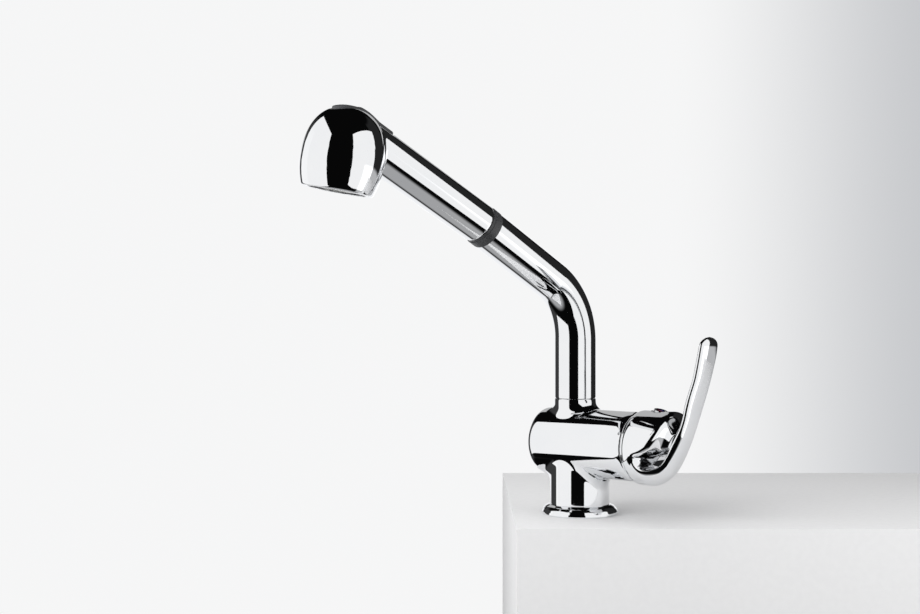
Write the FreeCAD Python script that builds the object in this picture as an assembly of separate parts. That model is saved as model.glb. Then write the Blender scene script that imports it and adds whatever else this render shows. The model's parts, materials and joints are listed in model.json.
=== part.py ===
import FreeCAD, Part
import math
import os
from FreeCAD import Vector

# Kitchen mixer tap with pull-out spout, millimetres.
# Origin: centre of the base ring's underside on the worktop. +Z up, lever towards +X.

# Base and mounting
base_ring_r = 25.8
base_ring_h = 6.8
base_ledge = 1.0
neck_r = 20.0
neck_foot_r = 19.4
neck_foot_z = 0.8
gasket_t = 1.2
gasket_inner_r = 20.6
gasket_outer_r = 23.9
shank_r = 16.0
shank_wall = 2.0
shank_top = 12.0
shank_bottom = -58.0
deck_t = 30.0
rubber_washer_t = 3.0
steel_washer_t = 2.0
washer_r = 24.0
nut_h = 8.0
nut_flat = 46.0

# Barrel, collar and waterways
barrel_r = 22.85
barrel_z = 48.1
dome_start = 22.0
dome_len = 9.5
dome_power = 3.0
collar_r = 14.2
collar_top = 78.0
collar_fillet = 4.0
neck_fillet = 3.5
conduit_r = 7.2
port_r = 3.6
port_depth = 10.0
way_r = 2.9

# Cartridge
cart_r = 17.4
cart_base_x = 17.0
cart_base_t = 5.0
cart_wall = 2.9
disc_t = 3.0
disc_seat_t = 4.5
shoulder_x = 41.0
cart_hub_r = 13.0
cart_hub_x = 47.0
cart_nut_t = 5.0
cart_nut_r = 19.9
driver_r = 10.0
driver_x = 38.0
moving_disc_r = 11.0
stem_half = 3.6
stem_end = 64.0
stem_fit = 0.05
driver_t = 1.2
finger_r = 2.6
finger_reach = 9.5
cover_bore = 14.2
tilt_pin_r = 1.2

# Lever
tilt_x = 43.5
joint_x = 50.5
cover_front = 57.5
cover_start = 49.0
hub_step = 1.55
hub_lip_inset = 0.1
hub_lip_round = 1.1
hub_round = 4.0
blade_root_x = 58.0
root_step = 0.05
blade_tip_z = 120.6
scoop_half_turn = 50.0
plug_r = 4.6
plug_tilt = 15.0
lever_travel = 17.0
lever_boss_r = 8.5
lever_wall_gap = 0.6
scoop_turn_x = 10.0
plug_x = 65.5
set_screw_r = 2.45
set_screw_len = 9.0

# Spout
spout_x = -3.8
spout_angle = -97.0
spout_rise = 28.9
knee_z = 144.4
bend_r = 45.0
tube_r = 14.0
tube_top_r = 13.15
tube_wall = 1.5
tube_end = 91.7
swivel_washer_t = 0.6
spigot_r = 11.2
spigot_bore = 7.8
spigot_bottom = 58.0
spigot_top = 94.0
o_ring_section = 1.1
o_ring_rise = (3.0, 7.0)
slip_rise = 10.0
slip_h = 3.5
slip_t = 0.8
screw_drop = 3.5
screw_r = 2.4
screw_tip_r = 1.4
screw_key = 2.0
groove_r = 9.7
dock_ring_end = 99.3
dock_lip = 2.0
dock_bore = 9.8
dock_sleeve_start = 67.0

# Hose
hose_r = 6.0
hose_nut_r = 8.6
nose_r = 7.0
nose_len = 7.5
spigot_len = 13.0
nut_len = 13.0
ferrule_len = 12.0
ferrule_r = 7.4

# Handset
handset_gap = 0.15
handset_droop = 2.0
handset_roll = -8.0
handle_r = 13.05
handle_len = 116.0
handset_wall = 2.0
head_tilt = 7.5
head_r = 24.9
rim_r = 21.4
waist_h = 18.3
crown_h = 50.4
head_cross_drop = 12.3
head_power = 2.3
face_recess = 1.2
face_t = 3.0
face_ring_w = 1.8
aerator_r = 9.6
aerator_h = 12.0
nozzle_r = 0.85
nozzle_out = 0.7
nozzle_sheet_t = 1.0
aerator_out = 0.4
chamber_r = 16.5
chamber_h = 14.0
diverter_x = 5.0
diverter_r = 2.0
diverter_seal_r = 3.22
riser_back = 14.0
riser_r = 6.6
water_r = 5.95
water_bore = 4.4
inlet_plug_len = 14.0
seat_bore = 3.6
valve_r = 4.6
valve_h = 7.0

# Rocker
rocker_front = 12.3
rocker_back = 31.0
rocker_w = 12.5
rocker_proud = 0.9
rocker_sink = 1.0
rocker_room = 1.5
rocker_gap = 0.45
rocker_pin_r = 1.0
rocker_pin_drop = 4.0
carrier_depth = 3.8
rocker_pusher_drop = 7.0

# Clearances
run_gap = 0.05
lip_gap = 0.3

X = Vector(1, 0, 0)
Y = Vector(0, 1, 0)
Z = Vector(0, 0, 1)
O = Vector(0, 0, 0)


def save(shape, name):
    shape.exportStep("parts/" + name + ".step")
    solids = len(shape.Solids)
    print(f"{name}: {solids} solid(s), {shape.Volume:.1f} mm3, valid {shape.isValid()}")


def rod(radius, low, high, at=O):
    return Part.makeCylinder(radius, high - low, at + Z * low, Z)


def tube(outer, inner, low, high, at=O):
    return rod(outer, low, high, at).cut(rod(inner, low - 1, high + 1, at))


def rod_x(radius, low, high, y=0.0, z=0.0):
    return Part.makeCylinder(radius, high - low, Vector(low, y, z), X)


def tube_x(outer, inner, low, high, z=0.0):
    return rod_x(outer, low, high, 0, z).cut(rod_x(inner, low - 1, high + 1, 0, z))


def o_ring(centre_r, section_r, z, at=O):
    return Part.makeTorus(centre_r, section_r, at + Z * z, Z)


def turned(edges, about=O, axis=Z):
    return Part.Face(Part.Wire(edges)).revolve(about, axis, 360)


def lines(points):
    pairs = zip(points, points[1:] + points[:1])
    return [Part.LineSegment(a, b).toShape() for a, b in pairs]


def hexagon(flat, low, high):
    corner = flat / math.sqrt(3)
    turns = [math.radians(60 * k) for k in range(6)]
    points = [Vector(corner * math.cos(t), corner * math.sin(t), low) for t in turns]
    return Part.Face(Part.Wire(lines(points))).extrude(Z * (high - low))


def superellipse(wide, tall, power, steps=10):
    spots = []
    for k in range(steps + 1):
        turn = math.pi / 2 * k / steps
        spots.append((wide * math.cos(turn) ** (2 / power), tall * math.sin(turn) ** (2 / power)))
    return spots


# Base ring, gasket and the fixings under the worktop

def base_ring():
    top_r = neck_r + 0.9
    edges = [
        Part.LineSegment(Vector(0, 0, 0), Vector(base_ring_r - 0.4, 0, 0)).toShape(),
        Part.LineSegment(Vector(base_ring_r - 0.4, 0, 0), Vector(base_ring_r, 0, 0.6)).toShape(),
    ]
    rise = base_ring_h - 0.6
    bulge = Vector(base_ring_r - 1.6, 0, 0.6 + rise * 0.55)
    crown = Part.Arc(Vector(base_ring_r, 0, 0.6), bulge, Vector(top_r, 0, base_ring_h))
    edges.append(crown.toShape())
    edges.append(Part.LineSegment(Vector(top_r, 0, base_ring_h), Vector(0, 0, base_ring_h)).toShape())
    edges.append(Part.LineSegment(Vector(0, 0, base_ring_h), Vector(0, 0, 0)).toShape())
    ring = turned(edges)
    ring = ring.cut(rod(neck_foot_r + run_gap, -1, base_ring_h + 1))
    ring = ring.cut(rod(neck_r + run_gap, base_ring_h - base_ledge, base_ring_h + 1))
    groove = tube(gasket_outer_r + run_gap, gasket_inner_r - run_gap, -1, gasket_t)
    return ring.cut(groove)


def gasket():
    return tube(gasket_outer_r, gasket_inner_r, 0, gasket_t)


def shank():
    body = tube(shank_r, shank_r - shank_wall, shank_bottom, shank_top)
    return body


def clamp_stack():
    rubber = tube(washer_r, shank_r + lip_gap, -deck_t - rubber_washer_t, -deck_t)
    steel_top = -deck_t - rubber_washer_t
    steel = tube(washer_r, shank_r + lip_gap, steel_top - steel_washer_t, steel_top)
    nut_top = steel_top - steel_washer_t
    nut = hexagon(nut_flat, nut_top - nut_h, nut_top)
    nut = nut.cut(rod(shank_r + run_gap, nut_top - nut_h - 1, nut_top + 1))
    return rubber, steel, nut


# Mixer body

def barrel_solid():
    spots = superellipse(dome_len, barrel_r, dome_power)
    points = [Vector(-dome_start - a, 0, b) for a, b in spots]
    curve = Part.BSplineCurve()
    curve.interpolate(Points=points, InitialTangent=Z, FinalTangent=X)
    joint_r = math.sqrt(barrel_r ** 2 - (cover_start - tilt_x) ** 2)
    mid = (cover_start - tilt_x) / 2
    ball = Part.Arc(
        Vector(tilt_x, 0, barrel_r),
        Vector(tilt_x + mid, 0, math.sqrt(barrel_r ** 2 - mid ** 2)),
        Vector(cover_start, 0, joint_r),
    )
    edges = [
        curve.toShape(),
        Part.LineSegment(points[-1], Vector(tilt_x, 0, barrel_r)).toShape(),
        ball.toShape(),
        Part.LineSegment(Vector(cover_start, 0, joint_r), Vector(cover_start, 0, 0)).toShape(),
        Part.LineSegment(Vector(cover_start, 0, 0), points[0]).toShape(),
    ]
    solid = turned(edges, O, X)
    solid.rotate(O, X, 90)
    solid.translate(Z * barrel_z)
    return solid


def round_crossing(solid, centre, radius, low, high, size):
    edges = []
    for edge in solid.Edges:
        if edge.Degenerated:
            continue
        box = edge.BoundBox
        spots = edge.discretize(9)
        off = [abs(math.hypot(p.x - centre, p.y) - radius) for p in spots]
        if max(off) < 0.02 and box.ZMin > low and box.ZMax < high and box.ZLength > 0.5:
            edges.append(edge)
    return solid.makeFillet(size, edges)


def inlet_spots():
    return [Vector(4.6, 8.8, 0), Vector(4.6, -8.8, 0), Vector(9.6, 0, 0)]


def cartridge_spots():
    return [Vector(0, 7.0, barrel_z - 4), Vector(0, -7.0, barrel_z - 4), Vector(0, 0, barrel_z + 7)]


def mixer_body():
    body = barrel_solid()
    neck = rod(neck_r, base_ring_h - base_ledge, barrel_z)
    collar = rod(collar_r, barrel_z, collar_top, X * spout_x)
    body = body.fuse([neck, collar]).removeSplitter()
    body = round_crossing(body, spout_x, collar_r, barrel_z, collar_top - 1, collar_fillet)
    body = round_crossing(body, 0, neck_r, base_ring_h, barrel_z, neck_fillet)
    body = body.fuse(rod(neck_foot_r, neck_foot_z, base_ring_h - base_ledge))
    cuts = [
        rod(shank_r + run_gap, neck_foot_z - 1, shank_top),
        rod(conduit_r, 0, spigot_bottom + 2, X * spout_x),
        rod(spigot_r + run_gap, spigot_bottom - 0.2, collar_top + 1, X * spout_x),
        rod_x(cart_r + 0.1, cart_base_x, shoulder_x + 0.1, 0, barrel_z),
        rod_x(cart_nut_r + run_gap, shoulder_x, cover_start + 1, 0, barrel_z),
        retaining_hole(),
    ]
    for spot, seat in zip(inlet_spots(), cartridge_spots()):
        cuts.append(rod(port_r, shank_top - 1, shank_top + port_depth, spot))
        cuts.append(rod(way_r, shank_top, seat.z, spot))
        across = Vector(cart_base_x + 1, seat.y, seat.z) - Vector(spot.x, spot.y, seat.z)
        start = Vector(spot.x, spot.y, seat.z)
        cuts.append(Part.makeCylinder(way_r, across.Length, start, across))
    return body.cut(cuts)


# Spout grub screw in the back of the collar

def screw_z():
    return collar_top - screw_drop


def retaining_hole():
    start = Vector(spout_x, spigot_r - 1, screw_z())
    return Part.makeCylinder(screw_r + run_gap, collar_r - spigot_r + 2, start, Y)


def spout_grub_screw():
    thread_in = spigot_r + 0.3
    thread_out = collar_r - 0.4
    start = Vector(spout_x, thread_in, screw_z())
    thread = Part.makeCylinder(screw_r, thread_out - thread_in, start, Y)
    tip = Part.makeCylinder(screw_tip_r, thread_in - groove_r - 0.3, start, -Y)
    key = hexagon(screw_key, 0, 1.2)
    key.rotate(O, X, 90)
    key.translate(Vector(spout_x, thread_out + 0.01, screw_z()))
    return thread.fuse(tip).cut(key)


# Cartridge, all about the barrel's axis

def cartridge_base():
    disc_end = cart_base_x + cart_base_t + disc_seat_t
    base = rod_x(cart_r, cart_base_x, cart_base_x + cart_base_t, 0, barrel_z)
    seat = rod_x(cart_r - cart_wall, cart_base_x, disc_end, 0, barrel_z)
    base = base.fuse(seat)
    for seat in cartridge_spots():
        base = base.cut(rod_x(way_r, cart_base_x - 1, disc_end + 1, seat.y, seat.z))
        ring = rod_x(way_r + 1.6, cart_base_x - 1, cart_base_x + 1.2, seat.y, seat.z)
        base = base.cut(ring)
    return base


def cartridge_seals():
    rings = []
    for seat in cartridge_spots():
        outer = rod_x(way_r + 1.55, cart_base_x + 0.02, cart_base_x + 1.2, seat.y, seat.z)
        rings.append(outer.cut(rod_x(way_r, cart_base_x - 1, cart_base_x + 2, seat.y, seat.z)))
    return Part.makeCompound(rings)


def fixed_disc():
    start = cart_base_x + cart_base_t + disc_seat_t
    disc = rod_x(cart_r - cart_wall, start, start + disc_t, 0, barrel_z)
    for seat in cartridge_spots():
        disc = disc.cut(rod_x(way_r, start - 1, start + disc_t + 1, seat.y, seat.z))
    return disc


def moving_disc():
    start = cart_base_x + cart_base_t + disc_seat_t + disc_t
    disc = rod_x(moving_disc_r, start, start + disc_t, 0, barrel_z)
    pocket = rod_x(4.2, start - 1, start + disc_t * 0.5, 0, barrel_z + 4)
    return disc.cut(pocket)


def disc_carrier():
    start = cart_base_x + cart_base_t + disc_seat_t + 2 * disc_t
    plate = rod_x(moving_disc_r, start, driver_x - 2.2, 0, barrel_z)
    side = finger_r + run_gap
    high = finger_r + 0.6
    slot = Part.makeBox(9, 2 * side, 2 * high, Vector(start + 0.6, -side, barrel_z - high))
    return plate.cut(slot)


def cartridge_housing():
    start = cart_base_x + cart_base_t
    shell = rod_x(cart_r, start, shoulder_x, 0, barrel_z)
    shell = shell.fuse(rod_x(cart_hub_r, shoulder_x, cart_hub_x, 0, barrel_z))
    shell = shell.cut(rod_x(cart_r - cart_wall + run_gap, start - 1, driver_x, 0, barrel_z))
    return shell.cut(rod_x(driver_r + run_gap, driver_x - 1, cart_hub_x + 1, 0, barrel_z))


def cartridge_nut():
    nut = tube_x(cart_nut_r, cart_hub_r + 0.1, shoulder_x + 0.02, shoulder_x + cart_nut_t, barrel_z)
    return nut


def cartridge_driver():
    driver = rod_x(driver_r, driver_x - driver_t, cart_hub_x, 0, barrel_z)
    flange = rod_x(cart_r - cart_wall - 0.5, driver_x - driver_t, driver_x - 0.05, 0, barrel_z)
    driver = driver.fuse(flange)
    wide = 2 * (stem_half + 0.1)
    slot = Part.makeBox(16, wide, 12.4, Vector(driver_x - 4, -wide / 2, barrel_z - 6.2))
    return driver.cut(slot).cut(spindle_pin_rod(run_gap))


def spindle_pin_rod(extra=0.0):
    reach = driver_r - 0.5
    return Part.makeCylinder(tilt_pin_r + extra, 2 * reach, Vector(tilt_x, -reach, barrel_z), Y)


def spindle():
    stem = Part.makeBox(
        stem_end - tilt_x + 3, 2 * stem_half, 2 * stem_half,
        Vector(tilt_x - 3, -stem_half, barrel_z - stem_half),
    )
    finger = rod_x(finger_r, tilt_x - finger_reach, tilt_x - 2, 0, barrel_z)
    return stem.fuse(finger).cut(spindle_pin_rod(run_gap))


def cartridge_cover():
    front_r = math.sqrt(barrel_r ** 2 - (cover_front - tilt_x) ** 2)
    back_r = math.sqrt(barrel_r ** 2 - (cover_start - tilt_x) ** 2)
    mid = (cover_front + cover_start) / 2
    mid_r = math.sqrt(barrel_r ** 2 - (mid - tilt_x) ** 2)
    skirt_start = shoulder_x + cart_nut_t + 0.05
    bore = cover_bore
    outer = Part.Arc(Vector(cover_start, 0, back_r), Vector(mid, 0, mid_r), Vector(cover_front, 0, front_r))
    corners = [
        Vector(cover_front, 0, front_r),
        Vector(cover_front, 0, bore),
        Vector(skirt_start, 0, bore),
        Vector(skirt_start, 0, cart_nut_r),
        Vector(cover_start + 0.02, 0, cart_nut_r),
    ]
    edges = [Part.LineSegment(a, b).toShape() for a, b in zip(corners, corners[1:])]
    edges.append(Part.LineSegment(corners[-1], Vector(cover_start, 0, back_r)).toShape())
    cover = turned([outer.toShape()] + edges, O, X)
    cover.translate(Z * barrel_z)
    return cover


# Lever: a cap over the cartridge and a blade that rises from under it

def hub_radius():
    return barrel_r + hub_step


def hub_solid():
    outer_r = hub_radius()
    lip_r = barrel_r - hub_lip_inset
    top = Vector(joint_x + hub_round, 0, outer_r)
    lip = Vector(joint_x, 0, lip_r)
    shoulder = Vector(joint_x + hub_lip_round, 0, lip_r + 0.95 * hub_lip_round)
    reach = scoop_front[3][0] + 2
    curve = Part.BSplineCurve()
    curve.interpolate(Points=[lip, shoulder, top], FinalTangent=X)
    corners = [top, Vector(reach, 0, outer_r), Vector(reach, 0, 0), Vector(joint_x, 0, 0), lip]
    edges = [curve.toShape()]
    edges += [Part.LineSegment(a, b).toShape() for a, b in zip(corners, corners[1:])]
    hub = turned(edges, O, X)
    hub.translate(Z * barrel_z)
    below = Part.makeBox(60, 80, 60, Vector(blade_root_x, -40, root_top() - 60))
    return hub.cut([past_scoop_front(), below])


def root_top():
    return scoop_front[-1][1] + 2


# The scoop parts the hub's round front from the blade. Its two sides are drawn
# in side view, as x and z, and turned about an upright axis, so that the front
# is round in plan too. The last point of the first side is the scoop's nook.

scoop_front = [
    (77.0, 80.0), (78.6, 72.5), (80.0, 67.5), (80.2, 63.0), (78.7, 57.5),
    (76.2, 52.2), (73.2, 48.2), (69.3, 45.5), (65.6, 43.9), (64.0, 42.0),
]
scoop_back = [
    (64.0, 42.0), (64.4, 38.2), (67.2, 35.1), (71.2, 36.7), (75.0, 41.3),
    (78.2, 47.0), (81.4, 54.3), (84.5, 61.5), (86.9, 68.0), (88.0, 74.0), (88.2, 80.0),
]


def scoop_side(rows, first_way, last_way):
    curve = Part.BSplineCurve()
    points = [Vector(x, 0, z) for x, z in rows]
    curve.interpolate(Points=points, InitialTangent=first_way, FinalTangent=last_way)
    return curve.toShape()


def scoop_turned(edges):
    face = Part.Face(Part.Wire(edges))
    face.rotate(X * scoop_turn_x, Z, -scoop_half_turn)
    return face.revolve(X * scoop_turn_x, Z, 2 * scoop_half_turn)


def scoop_front_edge():
    return scoop_side(scoop_front, Vector(0.2, 0, -1), -Z)


def past_scoop_front():
    first = Vector(scoop_front[0][0], 0, scoop_front[0][1])
    nook = Vector(scoop_front[-1][0], 0, scoop_front[-1][1])
    far = X * 40
    rest = [nook, nook + far, first + far, first]
    edges = [scoop_front_edge()]
    edges += [Part.LineSegment(a, b).toShape() for a, b in zip(rest, rest[1:])]
    return scoop_turned(edges)


def scoop_cut():
    first = Vector(scoop_front[0][0], 0, scoop_front[0][1])
    last = Vector(scoop_back[-1][0], 0, scoop_back[-1][1])
    back = scoop_side(scoop_back, -Z, Z)
    return scoop_turned([scoop_front_edge(), back, Part.LineSegment(last, first).toShape()])


# Sections of the root and blade: centre x and z, lean from level in degrees,
# half width, outer half thickness, inner half thickness, superellipse power

def blade_stations():
    hub = hub_radius() - root_step
    return [
        (blade_root_x, barrel_z, 0, hub, hub, 1.0, 2.0),
        (59.1, 44.1, 14, 23.2, 20.4, 1.6, 2.0),
        (62.9, 40.3, 29, 19.6, 14.2, 6.6, 2.0),
        (68.4, 39.0, 45, 14.9, 8.6, 9.0, 2.1),
        (75.2, 43.8, 57, 12.2, 5.0, 5.0, 2.3),
        (80.4, 51.8, 63, 10.4, 3.9, 3.0, 2.5),
        (84.4, 60.0, 67, 9.7, 3.4, 2.2, 2.6),
        (87.6, 68.4, 70, 9.6, 3.2, 2.0, 2.6),
        (90.2, 76.6, 70, 10.0, 3.1, 2.0, 2.6),
        (93.3, 85.6, 69, 9.9, 3.0, 2.0, 2.6),
        (96.0, 93.8, 71, 9.6, 3.0, 2.0, 2.6),
        (98.0, 101.6, 76, 9.8, 3.0, 2.0, 2.6),
        (99.7, 108.8, 79, 10.0, 2.9, 2.0, 2.6),
        (100.8, 114.6, 80, 9.8, 2.8, 2.0, 2.6),
    ]


def blade_section(x, z, lean, half_w, outer_t, inner_t, power, steps=14):
    turn = math.radians(lean)
    normal = Vector(-math.sin(turn), 0, math.cos(turn))
    centre = Vector(x, 0, z)
    halves = []
    for side, half_t in ((1, outer_t), (-1, inner_t)):
        points = []
        for k in range(steps + 1):
            t = math.pi * k / steps
            across = side * half_w * math.copysign(abs(math.cos(t)) ** (2 / power), math.cos(t))
            down = side * half_t * math.sin(t) ** (2 / power) if 0 < k < steps else 0.0
            points.append(centre + Y * across - normal * down)
        curve = Part.BSplineCurve()
        way = normal * side
        curve.interpolate(Points=points, InitialTangent=-way, FinalTangent=way)
        halves.append(curve.toShape())
    return Part.Wire(halves)


def filled_in(rows, parts=3):
    full = []
    last = len(rows) - 1
    for k in range(last):
        before, here, there, after = [rows[min(max(k + n, 0), last)] for n in (-1, 0, 1, 2)]
        for n in range(parts):
            t = n / parts
            row = []
            for a, b, c, d in zip(before, here, there, after):
                curve = (2 * a - 5 * b + 4 * c - d) * t ** 2 + (3 * b - a - 3 * c + d) * t ** 3
                row.append(b + 0.5 * ((c - a) * t + curve))
            full.append(row)
    return full + [rows[-1]]


def blade():
    stations = blade_stations()
    wires = [blade_section(*row) for row in filled_in(stations)]
    x, z, lean, half_w, half_t, inner_t, power = stations[-1]
    turn = math.radians(lean)
    ahead = (blade_tip_z - z) / math.sin(turn)
    for share in (0.35, 0.65, 0.86, 0.97):
        shrink = math.sqrt(1 - share ** 2)
        step = ahead * share
        spot = (x + step * math.cos(turn), z + step * math.sin(turn))
        size = (half_w * shrink, half_t * shrink, inner_t * shrink)
        wires.append(blade_section(spot[0], spot[1], lean, *size, power))
    return Part.makeLoft(wires, True, False)


def cover_room():
    pivot = Vector(tilt_x, 0, barrel_z)
    ball = Part.makeSphere(barrel_r + lip_gap, pivot)
    deep = cover_front + lever_wall_gap - tilt_x
    side = barrel_r + 8
    closed = Part.makeBox(deep, 2 * side, 2 * side, Vector(tilt_x, -side, barrel_z - side))
    opened = closed.copy()
    opened.rotate(pivot, Y, -lever_travel)
    room = ball.common(closed.fuse(opened))
    return room.cut(rod_x(lever_boss_r, cover_front + lever_wall_gap, 90, 0, barrel_z))


def lever():
    solid = hub_solid().fuse(blade()).cut(scoop_cut())
    solid = solid.cut(cover_room())
    half = stem_half + stem_fit
    socket = Part.makeBox(
        stem_end - cover_front + 2, 2 * half, 2 * half,
        Vector(cover_front - 1.8, -half, barrel_z - half),
    )
    return solid.cut([socket, plug_hole()])


def plug_axis():
    lean = math.radians(plug_tilt)
    top = Vector(plug_x, 0, barrel_z + hub_radius())
    return top, Vector(math.sin(lean), 0, math.cos(lean))


def plug_hole():
    top, out = plug_axis()
    wide = Part.makeCylinder(plug_r + run_gap, 8, top - out * 2.6, out)
    thread = Part.makeCylinder(set_screw_r + run_gap, 30, top - out * 23, out)
    return wide.fuse(thread)


def index_plug():
    top, out = plug_axis()
    plug = Part.makeCylinder(plug_r, 2.9, top - out * 2.55, out)
    stalk = Part.makeCylinder(2.3, 3.0, top - out * 5.5, out)
    return plug.makeFillet(0.5, [plug.Edges[0]]).fuse(stalk)


def lever_set_screw():
    top, out = plug_axis()
    lean = math.radians(plug_tilt)
    deep = (hub_radius() - stem_half - 0.1) / math.cos(lean) - set_screw_r * math.tan(lean)
    screw = Part.makeCylinder(set_screw_r, set_screw_len, top - out * deep, out)
    key = hexagon(2.5, 0, 2.6)
    key.Placement = FreeCAD.Placement(top - out * (deep - set_screw_len + 2.5), FreeCAD.Rotation(Z, out))
    return screw.cut(key)


# Spout, in its own frame: forward is +X, the swivel axis is Z

def in_row(shape):
    shape.rotate(O, Z, spout_angle)
    shape.translate(X * spout_x)
    return shape


def along_dock(distance):
    rise = math.radians(spout_rise)
    return Vector(distance * math.cos(rise), 0, knee_z + distance * math.sin(rise))


def on_dock(shape, distance=0.0):
    shape.rotate(O, Y, 90 - spout_rise)
    shape.translate(along_dock(distance))
    return shape


def bend_tangent():
    return bend_r * math.tan(math.radians(90 - spout_rise) / 2)


def bent_rod(low_r, high_r, bottom, end):
    tangent = bend_tangent()
    start = Vector(0, 0, knee_z - tangent)
    finish = along_dock(tangent)
    centre = Vector(bend_r, 0, knee_z - tangent)
    half = math.radians(90 - spout_rise) / 2
    middle = centre + Vector(-bend_r * math.cos(half), 0, bend_r * math.sin(half))
    path = Part.Wire([Part.Arc(start, middle, finish).toShape()])
    rise = math.radians(spout_rise)
    ahead = Vector(math.cos(rise), 0, math.sin(rise))
    first = Part.Wire([Part.Circle(start, Z, low_r).toShape()])
    last = Part.Wire([Part.Circle(finish, ahead, high_r).toShape()])
    bend = path.makePipeShell([first, last], True, False)
    lower = rod(low_r, bottom, start.z)
    upper = Part.makeCylinder(high_r, end - tangent, finish, ahead)
    return lower.fuse([bend, upper])


def spout_tube():
    bottom = collar_top + swivel_washer_t
    outer = bent_rod(tube_r, tube_top_r, bottom, tube_end)
    inner = bent_rod(tube_r - tube_wall, tube_top_r - tube_wall, bottom - 1, tube_end + 1)
    return in_row(outer.cut(inner))


def spout_spigot():
    joint = collar_top + swivel_washer_t
    body = rod(tube_r - tube_wall - 0.02, joint, spigot_top).fuse(rod(spigot_r, spigot_bottom, joint))
    body = body.cut(rod(spigot_bore, spigot_bottom - 1, spigot_top + 1))
    depth = 2 * o_ring_section + run_gap
    half = o_ring_section + 0.2
    for rise in o_ring_rise:
        z = spigot_bottom + rise
        body = body.cut(tube(spigot_r + 1, spigot_r - depth, z - half, z + half))
    slip_z = spigot_bottom + slip_rise
    body = body.cut(tube(spigot_r + 1, spigot_r - slip_t, slip_z, slip_z + slip_h))
    half = screw_tip_r + lip_gap
    body = body.cut(tube(spigot_r + 1, groove_r, screw_z() - half, screw_z() + half))
    return in_row(body)


def spigot_o_rings():
    centre_r = spigot_r + run_gap - 0.02 - o_ring_section
    rings = [o_ring(centre_r, o_ring_section, spigot_bottom + rise) for rise in o_ring_rise]
    return in_row(Part.makeCompound(rings))


def slip_ring():
    slip_z = spigot_bottom + slip_rise
    return in_row(tube(spigot_r + 0.03, spigot_r - slip_t, slip_z, slip_z + slip_h))


def swivel_washer():
    return tube(tube_r - 0.3, spigot_r + 0.1, collar_top, collar_top + swivel_washer_t, X * spout_x)


def dock_bush():
    band_end = dock_ring_end - dock_lip
    body = rod(tube_top_r + 0.1, tube_end, band_end)
    body = body.fuse(rod(tube_top_r - 0.35, band_end, dock_ring_end))
    body = body.fuse(rod(tube_top_r - tube_wall - run_gap, dock_sleeve_start, tube_end))
    body = body.cut(rod(dock_bore, dock_sleeve_start - 1, dock_ring_end + 1))
    return in_row(on_dock(body))


# Pull-out hose and its end

def nose_end():
    return dock_ring_end + handset_gap - spigot_len


def nut_end():
    return nose_end() - nose_len - 1.0


def hose_nut():
    back = nose_end() - nut_len
    nut = rod(hose_nut_r, back, nose_end() - run_gap)
    nut = nut.cut(rod(nose_r + run_gap, nose_end() - nose_len - 1.2, nose_end() + 1))
    nut = nut.cut(rod(hose_r + run_gap, back - 1, nose_end()))
    return in_row(on_dock(nut))


def hose_seal():
    tip = nose_end() - nose_len
    return in_row(on_dock(tube(nose_r - 0.1, 3.6, tip - 1.15, tip - 0.02)))


def ferrule():
    front = nose_end() - nut_len
    body = tube(ferrule_r, hose_r, front - ferrule_len, front)
    return in_row(on_dock(body))


def hose():
    front = nose_end() - nose_len - 1.2
    return in_row(bent_rod(hose_r, hose_r, shank_bottom, front - 0.1))


# Handset, in the head's frame: origin at the rim's centre, +Z towards the crown, forward +X

def handle_lean():
    return spout_rise - handset_droop - head_tilt


def handle_way():
    lean = math.radians(handle_lean())
    return Vector(math.cos(lean), 0, math.sin(lean))


def head_cross():
    return Z * (crown_h - head_cross_drop)


def dome(grow=0.0, floor=0.0):
    wide = head_r + grow
    tall = crown_h - waist_h + grow
    spots = superellipse(wide, tall, head_power)
    points = [Vector(a, 0, waist_h + b) for a, b in spots]
    curve = Part.BSplineCurve()
    curve.interpolate(Points=points, InitialTangent=Z, FinalTangent=-X)
    foot = rim_r + grow
    belly = (head_r - rim_r)
    side_r = (belly ** 2 + waist_h ** 2) / (2 * belly)
    drop = side_r - math.sqrt(side_r ** 2 - (waist_h / 2) ** 2)
    side = Part.Arc(Vector(foot, 0, 0), Vector(wide - drop, 0, waist_h / 2), points[0])
    edges = [side.toShape(), curve.toShape()]
    edges.append(Part.LineSegment(points[-1], Vector(0, 0, floor)).toShape())
    if floor < 0:
        edges.append(Part.LineSegment(Vector(0, 0, floor), Vector(foot, 0, floor)).toShape())
        edges.append(Part.LineSegment(Vector(foot, 0, floor), Vector(foot, 0, 0)).toShape())
    else:
        edges.append(Part.LineSegment(Vector(0, 0, 0), Vector(foot, 0, 0)).toShape())
    return turned(edges)


def handle_rod(radius, back=3.0, ahead=0.0):
    way = handle_way()
    start = head_cross() - way * (handle_len + back)
    return Part.makeCylinder(radius, handle_len + back + ahead, start, way)


def head_form(grow=0.0, floor=0.0, back=3.0):
    return dome(grow, floor).fuse(handle_rod(handle_r + grow, back))


def head_in_spout(shape):
    rise = math.radians(spout_rise - handset_droop)
    start = along_dock(dock_ring_end)
    cross = start + Vector(math.cos(rise), 0, math.sin(rise)) * handle_len
    shape.rotate(O, Y, -head_tilt)
    lean = math.radians(head_tilt)
    up = Vector(-math.sin(lean), 0, math.cos(lean))
    shape.translate(cross - up * head_cross().z)
    return shape


def rolled(shape):
    rise = math.radians(spout_rise)
    shape.rotate(along_dock(0), Vector(math.cos(rise), 0, math.sin(rise)), handset_roll)
    return in_row(shape)


def head_placed(shape):
    return rolled(head_in_spout(shape))


def dock_placed(shape):
    return rolled(on_dock(shape))


def behind_dock():
    return on_dock(rod(60, 0, dock_ring_end + handset_gap))


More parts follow.
